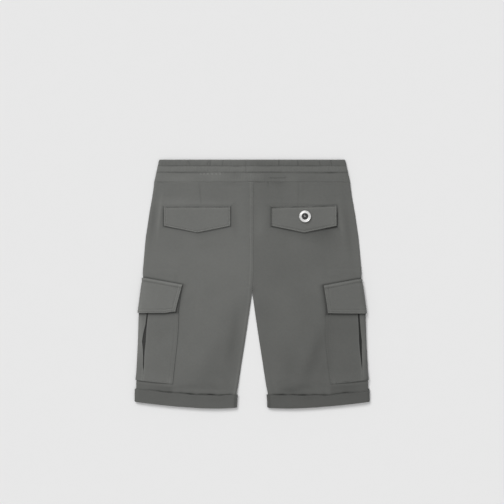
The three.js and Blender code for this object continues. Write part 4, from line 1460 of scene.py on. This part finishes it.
def cuff_section(loose, drop):
    """A cuff's cross-section, as distances out and levels: the outer face from the top down, the rolled
    lower edge, the part turned in under the cloth's edge, and the inner face. The upper edge stands off by
    loose, which falls away downwards, and lies lower by drop."""
    top, turn = HEM_Y + CUFF_DEEP, HEM_Y + CUFF_TURN
    outer = GAP + CUFF_CLOTH
    rim = np.radians(np.linspace(170, 20, 9))
    rim_level = top - 1 + np.sin(rim)
    rim_out = GAP + CUFF_CLOTH / 2 - np.cos(rim) * CUFF_CLOTH / 2
    face_level = np.linspace(top - 1.4, turn + 0.4, 16)
    roll = np.radians(np.linspace(0, 180, 13))
    middle, half = (outer - CUFF_TUCK) / 2, (outer + CUFF_TUCK) / 2
    roll_level = turn - (CUFF_TURN - 0.02) * np.sin(roll)
    roll_out = middle + half * np.cos(roll)
    inner_level = np.linspace(turn + 0.01, top - 1.2, 9)
    level = np.concatenate([rim_level, face_level, roll_level, inner_level])
    out = np.concatenate([rim_out, np.full(16, outer), roll_out, np.full(9, GAP)])
    share = np.clip((level - turn) / (top - turn), 0, 1)
    stand = np.where(out < GAP, 0, 0.25 * share + 0.7 * share**3)
    return out + loose * stand, level - drop * share


def cuff_object(side, word):
    """A cuff: a ring of cross-sections round the leg's end."""
    top = HEM_Y + CUFF_DEEP
    shares, layers = [], []
    for layer, step in ((1, 1.9), (-1, 3.4)):
        whole = float(breadth(side, layer, np.array(top)))
        far = np.concatenate(
            [
                np.linspace(0, FOLD_ARC, 9),
                np.linspace(FOLD_ARC, whole - FOLD_ARC, int(150 / step))[1:-1],
                np.linspace(whole - FOLD_ARC, whole, 9),
            ]
        )
        share = far / whole
        shares.append(share if layer > 0 else share[::-1][1:-1])
        layers.append(np.full(len(shares[-1]), layer))
    share, layer = np.concatenate(shares)[:, None], np.concatenate(layers)[:, None]
    whole = breadth(side, 1, np.array(top))
    far = share * whole
    free = ease(*CUFF_LOOSE_FROM, far) * ease(0, CUFF_LOOSE_INNER, whole - far)
    wander = 1 + 0.35 * np.sin(far / 13 + side) + 0.25 * np.sin(far / 5.7 + 2 * side)
    loose = np.where(layer > 0, CUFF_LOOSE * free * wander, 0)
    out, level = cuff_section(loose, np.where(layer > 0, top - cuff_top(side, share), 0))
    reach = np.where(layer > 0, share * breadth(side, 1, level), -share * breadth(side, -1, level))
    shown = (out > GAP + 1).astype(float)
    drape = 0.16 * np.sin(far / 9 + 0.7 * np.sin(level / 6) + side) + 0.1 * np.sin(far / 4.1 + 1.4 * side)
    out = out + shown * drape * ease(HEM_Y, HEM_Y + 6, level) * ease(0, 14, far) * ease(0, 14, whole - far)
    sections = cloth_point(side, reach, level, out)
    around = np.concatenate([[0], np.cumsum(np.linalg.norm(np.diff(sections[:, 12], axis=0), axis=1))])
    around = np.concatenate([around, [around[-1] + 3]])[:, None]
    down = np.linalg.norm(np.diff(np.stack([out[40], level[40]], -1), axis=0), axis=1)
    down = np.concatenate([[0], np.cumsum(down), [down.sum() + 1]])[None]
    # Lighter upper edge and hem, partly wear and partly painted highlight, and painted shade along the seam
    # at the inner leg
    wear_and_painted_highlight = 0.8 * bump(level, cuff_top(side, share) - 0.6, 1.1) + 0.5 * bump(level, HEM_Y + 0.4, 1.0)
    painted_shade = 0.3 * bump(whole - far, CUFF_SEAM, 0.9)
    painted_tone = PAINTED_TONE["cuff"][side > 0]
    return ring_object(f"cuff_turned_{word}", sections, around, down, side, wear_and_painted_highlight, painted_shade, painted_tone)


class SHORTS_OT_cuffs(bpy.types.Operator):
    """Builds the two turned up cuffs"""

    bl_idname = "shorts.cuffs"
    bl_label = "Cuffs"

    def execute(self, context):
        for side, word in SIDES:
            cuff = cuff_object(side, word)
            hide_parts(f"cuff_{word}")
        return {"FINISHED"}


# Waistband


def band_side(y):
    """Half of the waistband's width at a height."""
    return mix(BAND_SIDE, BAND_TOP_SIDE, (y - BAND_Y) / (WAIST_Y - BAND_Y))


# Where gathers pinch the top channel, the join in the band, the stitched rectangle and the bar beside it
BAND_PINCHES = (-141.3, -101.9, -74.0, -69.0, -49.4, -34.0, 9.6, 44.0, 75.2, 112.0, 131.0)
BAND_JOIN = -10.5
BAND_BOX = (-8.4, 22.7, 168.9, 183.2)
BAND_BAR = (27.0, 55.0, 174.0)
BAND_GROOVE = 0.45

# Where the painted shade along the upper and lower groove is darker: middle, half length, share
BAND_ROW_SHADE = (
    ((-26, 8, 1.3), (98, 14, 1.4), (-128, 16, 0.8), (30, 18, 0.5)),
    ((130, 8, 1.2), (108, 26, 0.5), (-118, 30, 0.3), (22, 24, 0.4), (-64, 18, -0.7)),
)


def band_marks(x, y):
    """How near a point is to the waistband's pinches, to its join, and to the bar: each 1 on its line."""
    top = ease(BAND_ROWS[2] - 1, BAND_ROWS[2] + 2, y)
    rise = y - BAND_ROWS[2]
    lines = (
        bump(x, at + 0.3 * math.sin(at) * rise, 0.9) * (0.7 + 0.5 * math.cos(at)) for at in BAND_PINCHES
    )
    pinch = sum(lines) * top
    join = bump(x, BAND_JOIN, 0.8) * ease(BAND_ROWS[1] - 3, BAND_ROWS[1] + 1, y)
    start, end, level = BAND_BAR
    bar = bump(y, level, 0.8) * ease(start - 1, start + 1, x) * ease(end + 1, end - 1, x)
    return pinch, join, bar


def band_swell(x, y):
    """How far the back of the waistband stands up between its rows of stitching: an arch in each channel,
    higher where the elastic gathers it, grooves on the rows, ripples beside them, and pinched gathers."""
    above = np.clip(np.searchsorted(BAND_ROWS, y), 1, 3)
    a, b = BAND_ROWS[above - 1], BAND_ROWS[above]
    t = np.clip((y - a) / (b - a), 0, 1)
    channel = np.where(above == 1, 0.35, 1.0) * np.sin(np.pi * t) ** 0.8
    drift = 0.9 * np.sin(x / 23 + y / 31) + 0.6 * np.sin(x / 9.7 - y / 17)
    gather = 0.5 + 0.5 * np.cos(x / BAND_SIDE * np.pi * BAND_GATHERS + drift)
    turn = 2.4 * np.sin(x / 19 + above)
    ripple = 0.16 * np.sin(2 * np.pi * x / 5.3 + turn + 1.7 * above) * np.sin(np.pi * t)
    ripple = ripple * (0.7 + 0.5 * np.sin(x / 31 + 2.1 * above))
    below = bump(y, BAND_ROWS[1] - 2.2, 1.6) * ease(-90, -82, x) * ease(-44, -52, x)
    dashes = 0.3 * below * np.sin(2 * np.pi * x / 6.1 + np.sin(x / 7))
    rows = sum(bump(y, row, 0.95) for row in BAND_ROWS[1:3])
    pinch, join, bar = band_marks(x, y)
    swell = BAND_SWELL * channel * mix(BAND_LEAST, 1, gather) + ripple + dashes
    return swell - BAND_GROOVE * rows - 0.4 * pinch - 0.3 * join - 0.35 * bar


def band_painted_shade(x, y):
    """Painted shade on the waistband: dark along its two rows of stitching, unevenly, and in its marks."""
    rows = 0
    for row, dark, places in zip(BAND_ROWS[2:0:-1], (0.2, 0.34), BAND_ROW_SHADE):
        uneven = 0.8 + 0.2 * np.sin(x / 21 + row) + 0.16 * np.sin(x / 6.3 + 2 * row)
        for middle, half, share in places:
            uneven = uneven + share * bump(x, middle, half)
        rows = rows + dark * uneven * bump(y, row - 0.3 + 0.35 * np.sin(x / 27 + row), 1.1)
    pinch, join, bar = band_marks(x, y)
    return np.clip(rows + 0.3 * pinch + 0.2 * join + 0.35 * bar, 0, 1)


def band_painted_glints(x, y):
    """Painted highlight on the waistband: how much lighter it is where single stitches of the lower row would
    catch the light.
    """
    here = bump(y, BAND_ROWS[1] - 2.6, 1.2) * ease(-90, -84, x) * ease(-46, -52, x)
    return 0.34 * here * np.clip(np.sin(2 * np.pi * x / 6.1 + np.sin(x / 7)) + 0.3, 0, 1)


def band_point(side, layer, bend, share, y, out, swell):
    """Points of the waistband, from its side, layer, turn round the side fold, share of the way to the
    middle, height, distance out, and how much of the back's swell it takes."""
    wide = band_side(y)
    x = wide - BAND_FOLD_WIDE * (1 - np.cos(bend)) - (wide - BAND_FOLD_WIDE) * share
    below = 0.12 * np.sin(np.pi * (y - BAND_Y) / 12)
    lift = np.where(layer > 0, band_swell(side * x, y), below) * np.sin(bend)
    out = out + swell * np.where(layer > 0, lift, np.minimum(lift, 0))
    z = BAND_HALF + layer * (BAND_HALF + out) * np.sin(bend)
    return np.stack([side * (x + out * np.cos(bend)), y + 0 * x, z], -1)


def band_stations():
    """Where the waistband's cross-sections are, all round: side, layer, turn and share."""
    fold = np.linspace(0, np.pi / 2, 9)

    def half(side, layer, count):
        bend = np.concatenate([fold, np.full(count, np.pi / 2)])
        share = np.concatenate([np.zeros(len(fold)), np.arange(1, count + 1) / count])
        return np.stack([np.full_like(bend, side), np.full_like(bend, layer), bend, share], -1)

    return np.concatenate(
        [half(-1, 1, 190), half(1, 1, 190)[::-1][1:], half(1, -1, 50)[1:], half(-1, -1, 50)[::-1][1:-1]]
    )


def band_object():
    """The waistband: a ring of cross-sections, each an outer face with rounded edges and an inner face."""
    side, layer, bend, share = (column[:, None] for column in band_stations().T)
    low, high = BAND_Y + 1.2, WAIST_Y - 1.5
    y = graded((BAND_Y, low, 0.3), (low, high, 0.65), (high, WAIST_Y, 0.25))
    roll = -1.3 * (1 - turned(WAIST_Y - y, 1.5, 0.0)) - 0.12 * (1 - turned(y - BAND_Y, 0.6, 0.0))
    outer = band_point(side, layer, bend, share, y[None], roll[None], 1.0)
    back = np.linspace(WAIST_Y - 0.4, BAND_Y + 0.4, 8)
    inner = band_point(side, layer, bend, share, back[None], np.full((1, 8), -BAND_CLOTH), 0.0)
    sections = np.concatenate([outer, inner], axis=1)
    around = np.concatenate([[0], np.cumsum(np.linalg.norm(np.diff(sections[:, 20], axis=0), axis=1))])
    around = np.concatenate([around, [around[-1] + 1]])[:, None]
    down = np.concatenate([y, 2 * WAIST_Y - back + 2.6, [2 * WAIST_Y - BAND_Y + 5]])[None]
    # Lighter top edge and strips below the rows, partly wear and partly painted highlight
    wear_and_painted_highlight = 0.5 * bump(y, WAIST_Y - 0.7, 1.2) + sum(0.3 * bump(y, row + 2.2, 1.2) for row in BAND_ROWS[1:3])
    wear_and_painted_highlight = np.concatenate([wear_and_painted_highlight, np.zeros(8)])[None]
    half = (sections[..., 0] > 0).astype(int)
    # Painted tone of each channel: the top one painted darker, the middle one lighter
    top, middle, low = (np.array(PAINTED_TONE[name])[half] for name in ("band_top", "band_middle", "band_low"))
    painted_tone = mix(low, middle, ease(BAND_ROWS[1] - 1, BAND_ROWS[1] + 1, sections[..., 1]))
    painted_tone = mix(painted_tone, top, ease(BAND_ROWS[2] - 0.5, BAND_ROWS[2] + 1.5, sections[..., 1]))
    # Painted shade along the rows and marks, and painted glints on the lower row's stitches
    painted_shade = band_painted_shade(sections[..., 0], sections[..., 1])
    painted_tone = painted_tone * (1 + band_painted_glints(sections[..., 0], sections[..., 1]))
    return ring_object("waistband_gathered", sections, around, down, 0, wear_and_painted_highlight, painted_shade, painted_tone)


def band_stitches():
    """Rows of stitches round the waistband, and the stitched rectangle at the middle of the back."""

    def surface(x, y, lift):
        out = band_swell(x, y) + lift
        return np.stack([x + 0 * y, y + 0 * x, 2 * BAND_HALF + out + 0 * x], -1)

    paths = []
    for y in BAND_ROWS[1:3]:
        wide = float(band_side(y)) - BAND_FOLD_WIDE
        x = np.linspace(-wide, wide, 500)
        paths.append((x, np.full_like(x, y)))
    left, right, low, high = BAND_BOX
    start, end, bar = BAND_BAR
    sides = ((left, left, high, low), (right, right, high, low))
    lines = (*sides, (left, right, low, low), (start, end, bar, bar))
    for x0, x1, y0, y1 in (*lines, (end, end, bar + 4, bar - 4)):
        paths.append((np.linspace(x0, x1, 40), np.linspace(y0, y1, 40)))
    return sewn("stitches_waistband", surface, paths, 6)


class SHORTS_OT_waistband(bpy.types.Operator):
    """Builds the gathered waistband in three stitched channels"""

    bl_idname = "shorts.waistband"
    bl_label = "Waistband"

    def execute(self, context):
        band = band_object()
        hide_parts("waistband")
        band_stitches()
        return {"FINISHED"}


# Button


def lathed(name, outline_points, count, seat, material):
    """A closed body of revolution from an outline of radii and heights, set on the flap."""
    profile = np.array(outline_points, float)
    angle = np.arange(count) * 2 * np.pi / count
    ring = np.stack(
        [
            profile[None, :, 0] * np.cos(angle)[:, None],
            profile[None, :, 0] * np.sin(angle)[:, None],
            np.broadcast_to(profile[:, 1], (count, len(profile))),
        ],
        -1,
    )
    points = ring.reshape(-1, 3) + seat
    faces, _ = ring_faces(count, len(profile))
    piece = piece_object(name, points, faces, material=material)
    shape = bmesh.new()
    shape.from_mesh(piece.data)
    bmesh.ops.remove_doubles(shape, verts=shape.verts, dist=1e-6)
    bmesh.ops.recalc_face_normals(shape, faces=shape.faces)
    shape.to_mesh(piece.data)
    shape.free()
    return piece


def smooth_outline(corners, parts=5):
    """A closed outline through rounded corners: each corner is cut by a curve between the middles of the
    lines that meet there, with the corner as its pull."""
    corners = np.array(corners, float)
    before, after = (np.roll(corners, 1, 0) + corners) / 2, (np.roll(corners, -1, 0) + corners) / 2
    t = np.linspace(0, 1, parts, endpoint=False)[None, :, None]
    curve = (1 - t) ** 2 * before[:, None] + 2 * t * (1 - t) * corners[:, None] + t**2 * after[:, None]
    return curve.reshape(-1, 2)


def button_seat():
    """The middle of the button, on the right flap's outer face."""
    inner, outer, top, rise = BACK_FLAPS[1]
    across = (BUTTON_X - inner) / (outer - inner)
    down = (top + rise * across - BUTTON_Y) / (top - BACK_FLAP_TIP)
    level = mix(*(float(end) for end in back_flap_ends(1, np.array(across))), down)
    reach = float(reach_at(BUTTON_X, np.array(level)))
    out = float(back_flap_base(1, across, down)) + FLAP_CLOTH + BUTTON_CLEAR
    point = cloth_point(1, np.array(reach), np.array(level), np.array(out))
    return np.array([BUTTON_X, BUTTON_Y, point[2]])


class SHORTS_OT_button(bpy.types.Operator):
    """Builds the button's plated ring and its dark stud"""

    bl_idname = "shorts.button"
    bl_label = "Button"

    def execute(self, context):
        look = context.scene.shorts_button
        seat = button_seat()
        ring = [
            (5.0, 0.2),
            (9.3, 0.0),
            (10.0, 0.6),
            (10.0, 1.9),
            (9.4, 2.9),
            (8.7, 3.1),
            (8.2, 2.7),
            (7.8, 2.75),
            (7.2, 3.2),
            (6.0, 3.1),
            (5.1, 2.3),
            (4.8, 1.2),
        ]
        plated = metal_material("bright_plate", look.ring_colour, look.ring_roughness, 0.25)
        lathed_ring = lathed("button_plated_ring", smooth_outline(ring), 72, seat, plated)
        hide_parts("button_ring")
        foot = [(0, 0.0), (4.3, 0.0), (4.3, 0.4), (3.4, 0.4)]
        stud = [*foot, (2.2, 0.45), (1.8, 0.9), (1.8, 1.7), (1.3, 2.1), (0, 2.15)]
        nail = (seat[2] + 1.3, seat[2] + 2.0, look.nail_colour)
        worn = metal_material("dark_plate", look.stud_colour, look.stud_roughness, 0.4, nail)
        lathed_stud = lathed("button_worn_stud", stud, 48, seat, worn)
        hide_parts("button_stud")
        return {"FINISHED"}


# Stage

PHOTO_SCALE = 1.64
PHOTO_SIDE = 504
CAMERA_LENS = 100.0
CAMERA_SENSOR = 36.0
CAMERA_OVER = 6.0
VIEW_MIDDLE = (-0.25, 52.6)
FLOOR_HALF = 6.0
FLOOR_LINES = 9
FLOOR_DROP = 0.0003


class SHORTS_OT_stage(bpy.types.Operator):
    """Builds the pale floor, the soft light from the upper left, and the camera straight above"""

    bl_idname = "shorts.stage"
    bl_label = "Stage"

    def execute(self, context):
        look = context.scene.shorts_stage
        self.floor(look)
        self.light(look)
        self.world(look)
        self.camera()
        context.scene.view_settings.view_transform = "Standard"
        context.scene.view_settings.look = "None"
        return {"FINISHED"}

    def floor(self, look):
        """A flat square of quads just under the garment."""
        line = np.linspace(-FLOOR_HALF, FLOOR_HALF, FLOOR_LINES)
        x, y = np.meshgrid(line, line, indexing="ij")
        points = np.stack([x, y, np.full_like(x, -FLOOR_DROP)], -1).reshape(-1, 3)
        faces = grid_faces(np.arange(x.size).reshape(x.shape))
        mesh = bpy.data.meshes.new("floor")
        mesh.from_pydata(points.tolist(), [], faces.tolist())
        mesh.update()
        floor = placed("floor", mesh)
        material, g = new_material("pale_paper")
        grain = g.noise(g.add("TexCoord", out="Object"), 40.0, 2.0)
        light = look.floor_colour
        colour = g.blend(grain, [c * 0.995 for c in light], [min(c * 1.005, 1.0) for c in light])
        g.surface(colour, 1.0, Specular_IOR_Level=0.0)
        mesh.materials.append(material)

    def light(self, look):
        """One wide sun from the upper left."""
        lamp = bpy.data.lights.new("key", "SUN")
        lamp.energy = look.key_strength
        lamp.angle = look.key_width
        key = placed("key", lamp)
        key.rotation_mode = "XYZ"
        key.rotation_euler = (0.0, math.pi / 2 - look.key_height, look.key_turn)

    def world(self, look):
        """An even dome, brighter straight above."""
        world = bpy.data.worlds.new("soft_studio")
        world.use_nodes = True
        g = Graph(world.node_tree)
        up = g.add("SeparateXYZ", {0: g.add("TexCoord", out="Generated")}, out="Z")
        sky = {"Value": up, "From Min": 0.62, "From Max": 0.95, "To Min": look.dome, "To Max": look.overhead}
        cap = g.add("MapRange", sky, interpolation_type="SMOOTHSTEP")
        g.finish(g.add("Background", {"Color": (1.0, 1.0, 1.0), "Strength": cap}), "OutputWorld")
        bpy.context.scene.world = world

    def camera(self):
        """Straight above the middle of the photo's frame, as far off as its width and the lens ask."""
        lens = bpy.data.cameras.new("camera")
        lens.lens = CAMERA_LENS
        lens.sensor_width = CAMERA_SENSOR
        camera = placed("camera", lens)
        distance = PHOTO_SCALE * PHOTO_SIDE * CAMERA_LENS / CAMERA_SENSOR
        camera.location = (VIEW_MIDDLE[0] * MM, VIEW_MIDDLE[1] * MM, (distance + CAMERA_OVER) * MM)
        bpy.context.scene.camera = camera


# Settings, panel and registration


class ShortsCloth(bpy.types.PropertyGroup):
    """Colours and relief of the twill"""

    # The left half's colour is lighter than the right's
    left_colour: bpy.props.FloatVectorProperty(
        name="Left colour",
        description="Cloth of the wearer's left half, whose nap catches more light",
        subtype="COLOR", size=3, min=0.0, max=1.0, default=(0.1422, 0.1443, 0.1372),
    )
    right_colour: bpy.props.FloatVectorProperty(
        name="Right colour",
        description="Cloth of the wearer's right half",
        subtype="COLOR", size=3, min=0.0, max=1.0, default=(0.1240, 0.1258, 0.1194),
    )
    crease_depth: bpy.props.FloatProperty(
        name="Crease depth",
        description="How deep the creases are, as a share of those shown",
        default=1.0, min=0.0, max=1.5, subtype="FACTOR",
    )
    crumple: bpy.props.FloatProperty(
        name="Crumple",
        description="Height of the washed cloth's slight unevenness",
        default=0.00005, min=0.0, max=0.0002, precision=5, unit="LENGTH",
    )
    wale_pitch: bpy.props.FloatProperty(
        name="Wale pitch",
        description="Distance between the twill's wales along the slanted map",
        default=0.0011, min=0.0005, max=0.003, precision=5, unit="LENGTH",
    )
    # Lighter turned edges, partly wear and partly painted highlight
    wear_and_painted_highlight: bpy.props.FloatProperty(
        name="Edge wear",
        description="How much lighter the turned edges are",
        default=0.35, min=0.0, max=1.0, subtype="FACTOR",
    )


class ShortsStitching(bpy.types.PropertyGroup):
    """Size and colour of the stitches"""

    stitch_length: bpy.props.FloatProperty(
        name="Stitch length",
        description="Length of one stitch on the surface",
        default=0.0026, min=0.001, max=0.006, precision=5, unit="LENGTH",
    )
    stitch_gap: bpy.props.FloatProperty(
        name="Stitch gap",
        description="Cloth that shows between two stitches",
        default=0.0006, min=0.0001, max=0.003, precision=5, unit="LENGTH",
    )
    thread_width: bpy.props.FloatProperty(
        name="Thread width",
        description="Width of the thread",
        default=0.0005, min=0.0002, max=0.001, precision=5, unit="LENGTH",
    )
    thread_colour: bpy.props.FloatVectorProperty(
        name="Thread colour",
        description="Colour of the sewing thread",
        subtype="COLOR", size=3, min=0.0, max=1.0, default=(0.108, 0.108, 0.101),
    )


class ShortsButton(bpy.types.PropertyGroup):
    """Finish of the button"""

    ring_colour: bpy.props.FloatVectorProperty(
        name="Ring colour",
        description="Bright plating of the ring",
        subtype="COLOR", size=3, min=0.0, max=1.0, default=(0.86, 0.86, 0.85),
    )
    ring_roughness: bpy.props.FloatProperty(
        name="Ring roughness", description="How dull the ring is",
        default=0.5, min=0.05, max=1.0, subtype="FACTOR",
    )
    stud_colour: bpy.props.FloatVectorProperty(
        name="Stud colour",
        description="Dark plating of the stud",
        subtype="COLOR", size=3, min=0.0, max=1.0, default=(0.075, 0.075, 0.075),
    )
    nail_colour: bpy.props.FloatVectorProperty(
        name="Nail colour",
        description="Bare metal at the middle of the stud",
        subtype="COLOR", size=3, min=0.0, max=1.0, default=(0.24, 0.24, 0.24),
    )
    stud_roughness: bpy.props.FloatProperty(
        name="Stud roughness", description="How dull the stud is",
        default=0.42, min=0.05, max=1.0, subtype="FACTOR",
    )


class ShortsStage(bpy.types.PropertyGroup):
    """Floor and light"""

    floor_colour: bpy.props.FloatVectorProperty(
        name="Floor colour",
        description="Pale surface that the shorts lie on",
        subtype="COLOR", size=3, min=0.0, max=1.0, default=(0.82, 0.82, 0.82),
    )
    key_strength: bpy.props.FloatProperty(
        name="Key strength", description="Strength of the wide sun", default=1.45, min=0.0, max=10.0,
    )
    key_width: bpy.props.FloatProperty(
        name="Key width",
        description="How wide the sun is, which softens its shadows",
        default=math.radians(24), min=0.0, max=math.radians(90), unit="ROTATION",
    )
    key_height: bpy.props.FloatProperty(
        name="Key height",
        description="Height of the sun over the floor",
        default=math.radians(46), min=0.0, max=math.radians(90), unit="ROTATION",
    )
    key_turn: bpy.props.FloatProperty(
        name="Key turn",
        description="Direction that the sun comes from, from the wearer's right towards the waist",
        default=math.radians(122), min=-math.pi, max=math.pi, unit="ROTATION",
    )
    dome: bpy.props.FloatProperty(
        name="Dome light", description="Brightness of the dome round the sides",
        default=0.32, min=0.0, max=3.0,
    )
    overhead: bpy.props.FloatProperty(
        name="Overhead light", description="Brightness of the dome straight above",
        default=1.19, min=0.0, max=5.0,
    )


BUILD_ORDER = (
    SHORTS_OT_stage,
    SHORTS_OT_front_panels,
    SHORTS_OT_back_panels,
    SHORTS_OT_cargo_pockets,
    SHORTS_OT_cargo_flaps,
    SHORTS_OT_back_flaps,
    SHORTS_OT_cuffs,
    SHORTS_OT_waistband,
    SHORTS_OT_button,
)
SETTINGS = {
    "shorts_cloth": ShortsCloth,
    "shorts_stitching": ShortsStitching,
    "shorts_button": ShortsButton,
    "shorts_stage": ShortsStage,
}


class SHORTS_PT_sidebar(bpy.types.Panel):
    """Lists the sizes and colours, and the operators that build each piece"""

    bl_idname = "SHORTS_PT_sidebar"
    bl_label = "Cargo shorts"
    bl_space_type = "VIEW_3D"
    bl_region_type = "UI"
    bl_category = "Shorts"

    def draw(self, context):
        for name, group in SETTINGS.items():
            box = self.layout.box()
            box.label(text=group.__doc__)
            for key in group.__annotations__:
                box.prop(getattr(context.scene, name), key)
        for operator in BUILD_ORDER:
            self.layout.operator(operator.bl_idname)


CLASSES = (*SETTINGS.values(), *BUILD_ORDER, SHORTS_PT_sidebar)


def register():
    """Registers the classes and hangs the settings on the scene."""
    for item in CLASSES:
        bpy.utils.register_class(item)
    for name, group in SETTINGS.items():
        setattr(bpy.types.Scene, name, bpy.props.PointerProperty(type=group))


def unregister():
    """Takes the settings and the classes away again."""
    for name in SETTINGS:
        delattr(bpy.types.Scene, name)
    for item in reversed(CLASSES):
        bpy.utils.unregister_class(item)


def main():
    """Registers the classes and builds every piece in order."""
    register()
    for operator in BUILD_ORDER:
        group, name = operator.bl_idname.split(".")
        getattr(getattr(bpy.ops, group), name)()


if __name__ == "__main__":
    main()
